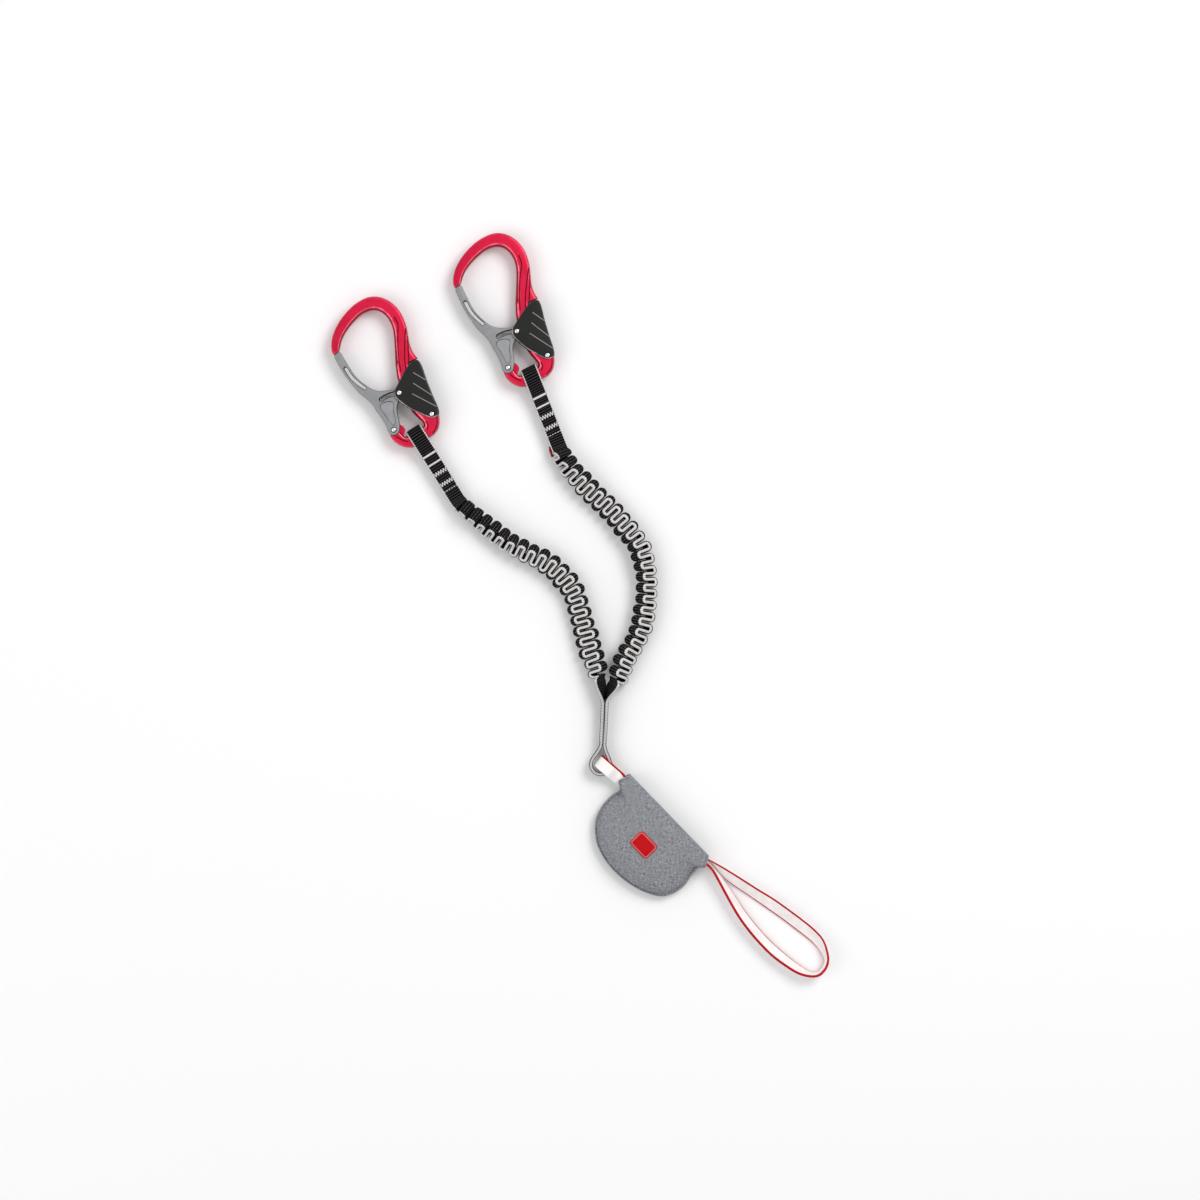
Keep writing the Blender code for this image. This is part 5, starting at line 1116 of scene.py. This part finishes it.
carabiner = {
    "frameThickness": 0.0105, "barWidth": 0.0102, "barHalf": 0.0075,
    # half of the bar stock's section, from the inner side (-1) to the outer (1), with each point's tone: above zero a
    # painted highlight, below zero painted shade
    "section": [(-1.0, 0.0, 0.5), (-0.99, 0.22, 0.5), (-0.95, 0.50, -0.3), (-0.89, 0.72, -0.9), (-0.81, 0.87, -1.0),
                (-0.71, 0.96, 0.0), (-0.63, 0.99, 1.0), (-0.53, 1.0, 0.3), (-0.40, 1.0, 0.0), (0.0, 1.0, 0.0),
                (0.62, 1.0, 0.0), (0.76, 0.975, 0.1), (0.87, 0.89, 0.25), (0.95, 0.71, -0.2), (0.99, 0.4, -0.5),
                (1.0, 0.0, -0.5)],
    # noseTones: painted highlight on the nose's chamfer; noseShade and tangTone: painted shade
    "noseChamfer": 0.0007, "noseScale": 0.86, "noseTones": (0.9, 0.6), "noseShade": 0.22, "tangTone": -0.1,
    "shadeFrom": -0.002, "shadeOver": 0.03, "barRound": 0.00615, "past": 0.002, "pocket": (0.0364, 0.012, 26, 80),
    "tangClear": 0.0001,
    "grooves": [[(23.6, 91.0), (24.9, 84.6), (23.0, 77.0), (21.0, 69.5), (18.6, 56.1), (17.7, 46.0)],
                [(30.6, 80.0), (28.6, 74.0), (26.8, 68.1), (23.4, 54.9), (22.3, 46.0)],
                [(30.0, 73.0), (29.0, 66.0), (26.6, 54.1), (25.8, 49.0)],
                [(27.9, 0.2), (28.7, -3.2), (27.6, -6.4)], [(31.2, -10.6), (34.9, -7.0), (37.0, -2.6), (37.9, 3.4)],
                [(1.2, -6.4), (4.6, -9.8), (9.0, -12.6)]],
    "grooveWidth": 0.0011, "grooveDepth": 0.0010, "rivetSeat": 0.0024, "seatDepth": 0.0003,
    "web": 0.0036, "tang": 0.0032, "tenon": 0.003, "tenonLength": 0.0025,
    "recessWidth": 0.0056, "recessDepth": 0.0004, "gateThickness": 0.009, "gateTip": 0.0048,
    "gateRound": 0.0008, "gateTone": -0.8, "fork": (0.037, -60, 99), "channel": (101.5, 0.0174, 0.002),
    "panelDepth": 0.0006, "rim": 0.00045, "rimStep": 0.0001, "upperSlot": 0.0026, "camSlot": 0.0034,
    "keySlot": 0.0032, "keyGap": 0.0003, "leverWall": 0.0018, "leverRound": 0.0012, "leverTones": (1.0, 0.12),
    "leverLight": (-0.66, -0.75, 0), "slant": (0.2, 0.95), "facing": 0.2, "gap": 0.0004, "pinHole": 0.00164,
    "headLift": 0.0003,
    "leverPivot": (34.3, 4.8), "lockPin": (12.2, 28.7), "leverSwing": 7.5, "gateSwing": 28.0,
    "rails": [
        ((-27.7, 75.7), (-33.7, 72.8)), ((-26.3, 79), (-34.3, 77)), ((-22.6, 85), (-32.3, 85.2)),
        ((-16.5, 91.2), (-26.5, 94.4)), ((-9.5, 96.3), (-16.5, 103.8)), ((-2, 100.2), (-5.5, 110.2)),
        ((6, 101.4), (6, 113)), ((12, 99.4), (15.5, 110.9)), ((16.2, 95), (23.8, 104.3)),
        ((18.7, 89.5), (29, 95.3)), ((19.6, 82.5), (31.2, 84)), ((18.8, 74.5), (31, 75)),
        ((17.3, 66.5), (30.4, 67)), ((15.6, 58), (31.4, 59.5)), ((14.6, 53.4), (33.9, 53.4))],
    "lowerRails": [
        ((14.3, 51.2), (25.7, 51.4)), ((13.4, 43), (25.8, 43)), ((13.3, 36), (27.6, 35.4)),
        ((14, 28), (30.2, 26.5)), ((15.7, 19), (33.4, 17.5)), ((18.6, 10.8), (37.2, 9.8)),
        ((22, 4.6), (39.6, 2.8)), ((24.9, 0.2), (38.9, -2.2)), ((25.3, -1.8), (36.4, -8)),
        ((25, -2.8), (32, -11.9))],
    "tangRails": [((7, -7.5), (8.5, -17.4)), ((6.8, -6.5), (2.5, -14.4)), ((5.8, -4.4), (-2.2, -9)),
                  ((5, -2.6), (-3.9, -5))],
    "tangLobe": [(-3.2, 2.7), (-4.2, -0.4), (-3.6, -5.6), (-1, -8.4), (6.2, -8.4), (7.6, -4.8), (9, -3),
                 (9.3, -1.2), (8.2, 1.2), (6.2, 3.3), (3.2, 2.7)],
    "recess": [(26.6, 82), (25.3, 75), (23.9, 68.8), (21.0, 55.5), (19.9, 45)],
    "gateOuter": [(-32.7, 72.5), (-33.2, 71.3), (-32.3, 66.7), (-30.4, 60), (-28, 52.6), (-23.6, 43),
                  (-20.6, 37), (-17.4, 32.8), (-14.4, 28.6), (-11.9, 24.4), (-10.2, 19), (-8.7, 15.2),
                  (-6.9, 10.5), (-5.4, 5)],
    "gateInner": [(5.6, 1.5), (6.1, 7), (6.3, 13.5), (7.4, 18.4), (9.7, 21.9), (11.5, 24.6), (13, 24.8),
                  (15.2, 26.1), (16.2, 28.7), (15.2, 31.4), (12.2, 32.7), (8, 32.6), (2, 33.4), (-3.5, 34.4),
                  (-8, 36.6), (-12.2, 40.4), (-19.7, 50.5), (-24.3, 63), (-26.7, 71), (-27.4, 73.5),
                  (-28.3, 74.65)],
    "gateUpper": [(-26.6, 59.4), (-23.5, 51), (-18.8, 44), (-15, 39.6)],
    "panel": [(-6.3, 20.4), (-5.2, 22.7), (-0.5, 23.9), (5, 22.1), (3.4, 15.5), (3.1, 6.6), (0.9, 3.7),
              (-1.2, 6.8), (-3.8, 14.4)],
    "lever": [(8, 27.5), (9, 31.5), (11.7, 34.8), (20.7, 45.1), (27.9, 51.1), (32, 52.2), (34.6, 50.6),
              (36.8, 33.6), (38.6, 20), (40.4, 7.5), (39.3, 3.5), (36, 1.7), (31.1, 3.1), (24.8, 7.7),
              (18.6, 12.7), (12.8, 19.1), (8.6, 25)],
    "leverCavity": [(-5, 60), (31.6, 60), (32.8, 50), (35, 33.6), (36.8, 20), (37.5, 14), (50, 14), (50, -6),
                    (-5, -6)],
    "ridges": [[(27.8, 42), (36, 34)], [(25.6, 33.5), (38.3, 19.9)], [(22.7, 25.1), (39.6, 10)]],
    "ridgeWidth": 0.0006, "ridgeHeight": 0.0003, "leafFoot": (32.85, 21.5), "leafLean": 19, "leafKeep": 0.3,
}
c = carabiner
half = c["frameThickness"] / 2
pivot = Vector((0, 0, 0))
leverPivot, lockPin = inMm([c["leverPivot"], c["lockPin"]])


def arcPoints(centre, radius, start, end, steps):
    return [centre + heading(start + (end - start) * k / steps) * radius for k in range(steps + 1)]


def circle(centre, radius):
    return arcPoints(centre, radius, 0, 351, 39)


def track(points, width, steps=10):
    # an even track with round ends
    leftSide, rightSide = [], []
    for i, p in enumerate(points):
        side = leftOf(ahead(points, i)) * (width / 2)
        leftSide.append(p + side)
        rightSide.append(p - side)
    end = math.degrees(math.atan2(*(points[-1] - points[-2]).yx))
    start = math.degrees(math.atan2(*(points[0] - points[1]).yx))
    return (leftSide[:-1] + arcPoints(points[-1], width / 2, end + 90, end - 90, steps)
            + list(reversed(rightSide))[1:-1] + arcPoints(points[0], width / 2, start + 90, start - 90, steps)[:-1])


def disc(name, radius, reach, material, centre=pivot):
    return plate(name, [circle(centre, radius)], -reach, reach, material)


def bothFaces(name, outline, floor, top, material=None):
    # the same sunk shape on the upper and the under side
    return [plate(name + "Top", [outline], floor, top, material),
            plate(name + "Under", [outline], -top, -floor, material)]


def around(line, width):
    # a closed line moved out from its middle
    middle = sum(line, Vector()) / len(line)
    return [p + (p - middle).normalized() * width for p in line]


def cut(target, tools, operation="DIFFERENCE"):
    for tool in tools:
        modifier = target.modifiers.new(tool.name, "BOOLEAN")
        modifier.operation = operation
        modifier.material_mode = "TRANSFER"
        modifier.object = tool


def markEdges(mesh, bright, dim, towards=None):
    # tone of painted light on the slanted faces of rounded edges: bright on the side that looks one way, dim on the
    # rest; above zero a painted highlight, below zero painted shade
    values = []
    for face in mesh.polygons:
        slanted = c["slant"][0] < abs(face.normal.z) < c["slant"][1]
        chosen = towards is None or face.normal.dot(towards) > c["facing"]
        values.append((bright if chosen else dim) if slanted else 0.0)
    mesh.attributes.new("edge", "FLOAT", "FACE").data.foreach_set("value", values)
    return mesh


def smoothPairs(pairs, steps):
    # a smooth line through the first points of the pairs and one through the second ones
    return list(zip(*(smoothThrough([pair[k] for pair in pairs], steps) for k in (0, 1))))


def frameMesh():
    bar, along = inMm([layout["barCentre"]])[0], heading(layout["barSlant"])
    outSide = -leftOf(along) * (c["barWidth"] / 2)
    barPairs = [(bar + along * s - outSide, bar + along * s + outSide)
                for s in (c["barHalf"], c["barHalf"] / 2, -c["barHalf"] / 2, -c["barHalf"])]
    rails, lowerRails, tangRails = ([tuple(inMm(pair)) for pair in c[key]]
                                    for key in ("rails", "lowerRails", "tangRails"))
    pairs = (smoothPairs(rails, 4) + smoothPairs(lowerRails, 4) + barPairs
             + smoothPairs([barPairs[-1]] + tangRails, 3)[1:])
    upper = c["section"]
    section = upper + [(x, -y, tone) for x, y, tone in reversed(upper[1:-1])]
    bm = bmesh.new()
    loops, toneSpots = [], []

    def addRing(inner, outerSpot, scale=1.0, tone=None, limit=1.0):
        middleSpot, reach = (inner + outerSpot) / 2, (outerSpot - inner) / 2 * scale
        offsets = [reach * x + up * (y * half * scale) for x, y, _ in section]
        loop = [bm.verts.new(middleSpot + o * min(1, limit / o.length)) for o in offsets]
        toneSpots.extend((v.co.copy(), tone if tone is not None else t) for v, (_, _, t) in zip(loop, section))
        loops.append(loop)

    # the nose's end face is drawn in, with its chamfer toned as a painted highlight
    noseIn, noseOut = pairs[0]
    noseStep = c["noseChamfer"] / (pairs[1][0] - noseIn).length
    addRing(noseIn, noseOut, c["noseScale"], c["noseTones"][0])
    addRing(noseIn.lerp(pairs[1][0], noseStep), noseOut.lerp(pairs[1][1], noseStep), 1.0, c["noseTones"][1])
    for pair in pairs[1:]:
        addRing(*pair, limit=c["barRound"] if pair in barPairs else 1.0)  # the sewn eye turns on the bar
    bridgeAll(bm, loops)
    red, dark = finishes["frame"], finishes["frameGroove"]
    body = place("frameBody", meshOf("frameBody", bm), red)
    tang = plate("tang", [inMm(c["tangLobe"])], -c["tang"] / 2, c["tang"] / 2, red)
    alongNose = (noseOut - noseIn).normalized()
    down = leftOf(alongNose) * c["tenonLength"]
    inset = alongNose * (c["tenonLength"] / 2)
    tenon = plate("tenon", [[noseIn + inset - down, noseOut - inset - down, noseOut - inset + down,
                             noseIn + inset + down]], -c["tenon"] / 2, c["tenon"] / 2, red)
    cut(body, [tang, tenon], "UNION")
    top, floor = half + c["past"], c["web"] / 2
    pocketOut, pocketIn, low, high = c["pocket"]
    pocket = arcPoints(pivot, pocketOut, low, high, 24) + arcPoints(pivot, pocketIn, high, low, 12)
    spine = track(smoothThrough(inMm(c["recess"]), 5), c["recessWidth"])
    # the pocket, seats, grooves and pin holes take the dark finish as painted shade; the spine recess keeps the
    # frame's colour
    tools = bothFaces("pocket", pocket, floor, top, dark)
    tools += bothFaces("seat", circle(pivot, c["gateTip"] + c["gap"]), floor, top, dark)
    tools += bothFaces("spine", spine, half - c["recessDepth"], top, red)
    for i, groove in enumerate(c["grooves"]):
        line = track(smoothThrough(inMm(groove), 5), c["grooveWidth"])
        tools += bothFaces("groove%d" % i, line, half - c["grooveDepth"], top, dark)
    cut(body, tools + [disc("gateHole", c["pinHole"], top, dark),
                       disc("leverHole", c["pinHole"], top, dark, leverPivot)])
    mesh = bake(body)
    tree = kdtree.KDTree(len(toneSpots))
    for i, (spot, _) in enumerate(toneSpots):
        tree.insert(spot, i)
    tree.balance()
    # painted shade darkens the frame towards the nose; the tang's faces take a flat tone of painted shade
    tones = [toneSpots[tree.find(v.co)[1]][1] - c["noseShade"] * ease((c["shadeFrom"] - v.co.x) / c["shadeOver"])
             if abs(v.co.z) > c["tang"] / 2 + c["tangClear"] else c["tangTone"] for v in mesh.vertices]
    mesh.attributes.new("edge", "FLOAT", "POINT").data.foreach_set("value", tones)
    return mesh


def gateMesh():
    tip = arcPoints(pivot, c["gateTip"], 182, 358, 24)
    outline = smoothThrough(inMm(c["gateOuter"]), 4) + tip + smoothThrough(inMm(c["gateInner"]), 4)
    halfGate = c["gateThickness"] / 2
    through, floor, dark = halfGate + c["past"], halfGate - c["panelDepth"], finishes["gateWall"]
    gate = plate("gateBody", [outline], -halfGate, halfGate, finishes["gate"])
    roundEdges(gate, c["gateRound"], 2)
    bearing, long, wide = c["channel"]
    axis = heading(bearing)
    reach = leftOf(axis) * wide
    channel = [reach, -reach, axis * long - reach, axis * long + reach]
    width = c["web"] / 2 + c["gap"]
    topOut, topIn = inMm([c["gateOuter"][0], c["gateInner"][-1]])
    along = (topIn - topOut).normalized()
    rise = leftOf(along)
    key = [topOut - along * c["past"] - rise * c["keySlot"], topIn + along * c["past"] - rise * c["keySlot"],
           topIn + along * c["past"] + rise * c["past"], topOut - along * c["past"] + rise * c["past"]]
    keyHalf = c["tenon"] / 2 + c["keyGap"]
    cam = []  # the lock pin's way through the turning gate
    for k in range(17):
        angle = math.radians(c["leverSwing"] * k / 16)
        spot = leverPivot + Matrix.Rotation(angle, 3, "Z") @ (lockPin - leverPivot)
        cam.append(Matrix.Rotation(angle * c["gateSwing"] / c["leverSwing"], 3, "Z") @ spot)
    panel = smoothThrough(inMm(c["panel"]), 4, closed=True)
    upperLine = smoothThrough(inMm(c["gateUpper"]), 5)
    tools = []
    # rims round the panel and the slots, darkened with painted shade
    for name, outline in (("panelRim", around(panel, c["rim"])),
                          ("upperRim", track(upperLine, c["upperSlot"] + 2 * c["rim"])),
                          ("camRim", track(cam, c["camSlot"] + 2 * c["rim"]))):
        tools += bothFaces(name, outline, floor + c["rimStep"], through, dark)
    # the cut walls of the fork, knuckle, channel, key, slots and pin hole, and the rivet seats, darkened with painted
    # shade
    radius, low, high = c["fork"]
    tools += [plate("fork", [[pivot] + arcPoints(pivot, radius, low, high, 40)], -width, width, dark),
              disc("knuckle", c["gateTip"] + c["gap"], width, dark),
              plate("channel", [channel], -width, width, dark), plate("key", [key], -keyHalf, keyHalf, dark),
              plate("upperSlot", [track(upperLine, c["upperSlot"])], -through, through, dark),
              plate("camSlot", [track(cam, c["camSlot"])], -through, through, dark),
              disc("pivotHole", c["pinHole"], through, dark)]
    tools += bothFaces("rivetSeat", circle(pivot, c["rivetSeat"]), halfGate - c["seatDepth"], through, dark)
    tools += bothFaces("panel", panel, floor, through, finishes["gatePanel"])
    cut(gate, tools)
    # the gate's rounded edges all take painted shade
    return markEdges(bake(gate), c["gateTone"], c["gateTone"])


def leverMesh():
    cavity = max(c["frameThickness"], c["gateThickness"]) / 2 + c["gap"]
    halfLever = cavity + c["leverWall"]
    outline = smoothThrough(inMm(c["lever"]), 4, closed=True)
    lever = plate("leverBody", [outline], -halfLever, halfLever, finishes["lever"])
    roundEdges(lever, c["leverRound"], 4)
    # raised ridges in a pale finish: a painted highlight
    proud = halfLever + c["ridgeHeight"]
    ridges = [plate("ridge%d" % i, [track(inMm(ridge), c["ridgeWidth"])], -proud, proud, finishes["leverRidgeHighlight"])
              for i, ridge in enumerate(c["ridges"])]
    cut(lever, ridges, "UNION")
    # the pin holes and rivet seats take the dark finish as painted shade
    through, dark = halfLever + c["past"], finishes["gateWall"]
    tools = [plate("cavity", [inMm(c["leverCavity"])], -cavity, cavity, finishes["lever"])]
    for i, spot in enumerate((leverPivot, lockPin)):
        tools.append(disc("hole%d" % i, c["pinHole"], through, dark, spot))
        tools += bothFaces("rivetSeat%d" % i, circle(spot, c["rivetSeat"]), halfLever - c["seatDepth"], through, dark)
    cut(lever, tools)
    # a painted highlight on the rounded edges that face leverLight, a faint one on the rest
    return markEdges(bake(lever), *c["leverTones"], Vector(c["leverLight"]))


rivet = {"sides": 28, "shankReach": 1.9, "collar": 0.6, "cap": 0.4, "neck": 0.94, "top": 0.62}


def rivetTree():
    # a shank with a low stepped head on each side, on every point
    tree, given, out = newGroup("rivets", "GeometryNodeTree", {
        "Shank": 0.0013, "Head": 0.00175, "Seat": 0.005, "Rise": 0.0006})
    head, seat, riseBy = given["Head"], given["Seat"], given["Rise"]
    join = wire(tree, "GeometryNodeJoinGeometry")
    shank = form(tree, "MeshCylinder", {"Vertices": rivet["sides"], "Radius": given["Shank"],
                                        "Depth": (seat + riseBy) * rivet["shankReach"]})
    tree.links.new(shank.socket, join.inputs[0])
    low, neck = riseBy * rivet["collar"], head * rivet["neck"]
    for bottom, top, depth, z in ((head, neck, low, seat),
                                  (neck, head * rivet["top"], riseBy * rivet["cap"], seat + low)):
        cone = form(tree, "MeshCone", {"Vertices": rivet["sides"], "Radius Top": top, "Radius Bottom": bottom,
                                       "Depth": depth})
        for flip, height in ((0.0, z), (math.pi, z * -1.0)):
            turned = form(tree, "Transform", {"Geometry": cone, "Translation": combine(z=height),
                                              "Rotation": (flip, 0, 0)})
            tree.links.new(turned.socket, join.inputs[0])
    spots = form(tree, "MeshToPoints", {0: given["Geometry"]})
    row = form(tree, "InstanceOnPoints", {"Points": spots, "Instance": join.outputs[0]})
    return giveDressed(tree, given, out, row)


shapes = {"frame": frameMesh(), "gate": gateMesh(), "lever": leverMesh()}
rivets = rivetTree()
gateSeat = c["gateThickness"] / 2 + c["headLift"]
leverSeat = max(c["frameThickness"], c["gateThickness"]) / 2 + c["gap"] + c["leverWall"] + c["headLift"]
for side in ("left", "right"):
    spot = layout[side]
    turn = Matrix.Rotation(math.radians(spot["turn"]), 4, "Z")
    toWorld = Matrix.Translation(Vector(spot["bar"])) @ turn @ Matrix.Translation(-inMm([layout["barCentre"]])[0])
    for part, body, slot, node in (("frame", "_carabiner", "frame_red", "_carabiner_frame"),
                                   ("gate", "_gate", "gate_grey", "_gate"),
                                   ("lever", "_lever", "lever_black", "_palm_lever")):
        mesh = shapes[part].copy()
        mesh.transform(toWorld)
        dress(place(side + part.capitalize(), mesh, sharp=30), side + body, slot, side + node)
    for label, spots, seat, body, replaced in (
            ("GateRivet", [pivot], gateSeat, "_carabiner", ["_gate_pivot_rivet"]),
            ("LeverRivets", [leverPivot, lockPin], leverSeat, "_lever", ["_lever_pivot_rivet", "_lock_pin"])):
        mesh = bpy.data.meshes.new(side + label)
        mesh.from_pydata([tuple(toWorld @ p) for p in spots], [], [])
        mesh = grow(side + label, mesh, rivets, {"Seat": seat, "Material": finishes["rivet"]})
        dress(place(side + label, mesh, finishes["rivet"], sharp=30), side + body, "steel",
              *[side + node for node in replaced])
    for label, node, home in (("GateSpring", "_gate_spring", "_gate"),
                              ("LeverSpring", "_lever_spring", "_carabiner")):
        mesh = nodes[side + node].data.copy()
        mesh.transform(nodes[side + node].matrix_world)
        mesh.materials.clear()
        coil = place(side + label, mesh, finishes["spring"])
        if home == "_carabiner":
            # the lever's leaf spring, whose foot is on the frame, gets a mesh of its own
            side + "_lever_squeeze"
            tuple(toWorld @ inMm([c["leafFoot"]])[0])
            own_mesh(coil)
        dress(coil, side + home, "steel", side + node)
print("carabiners done")
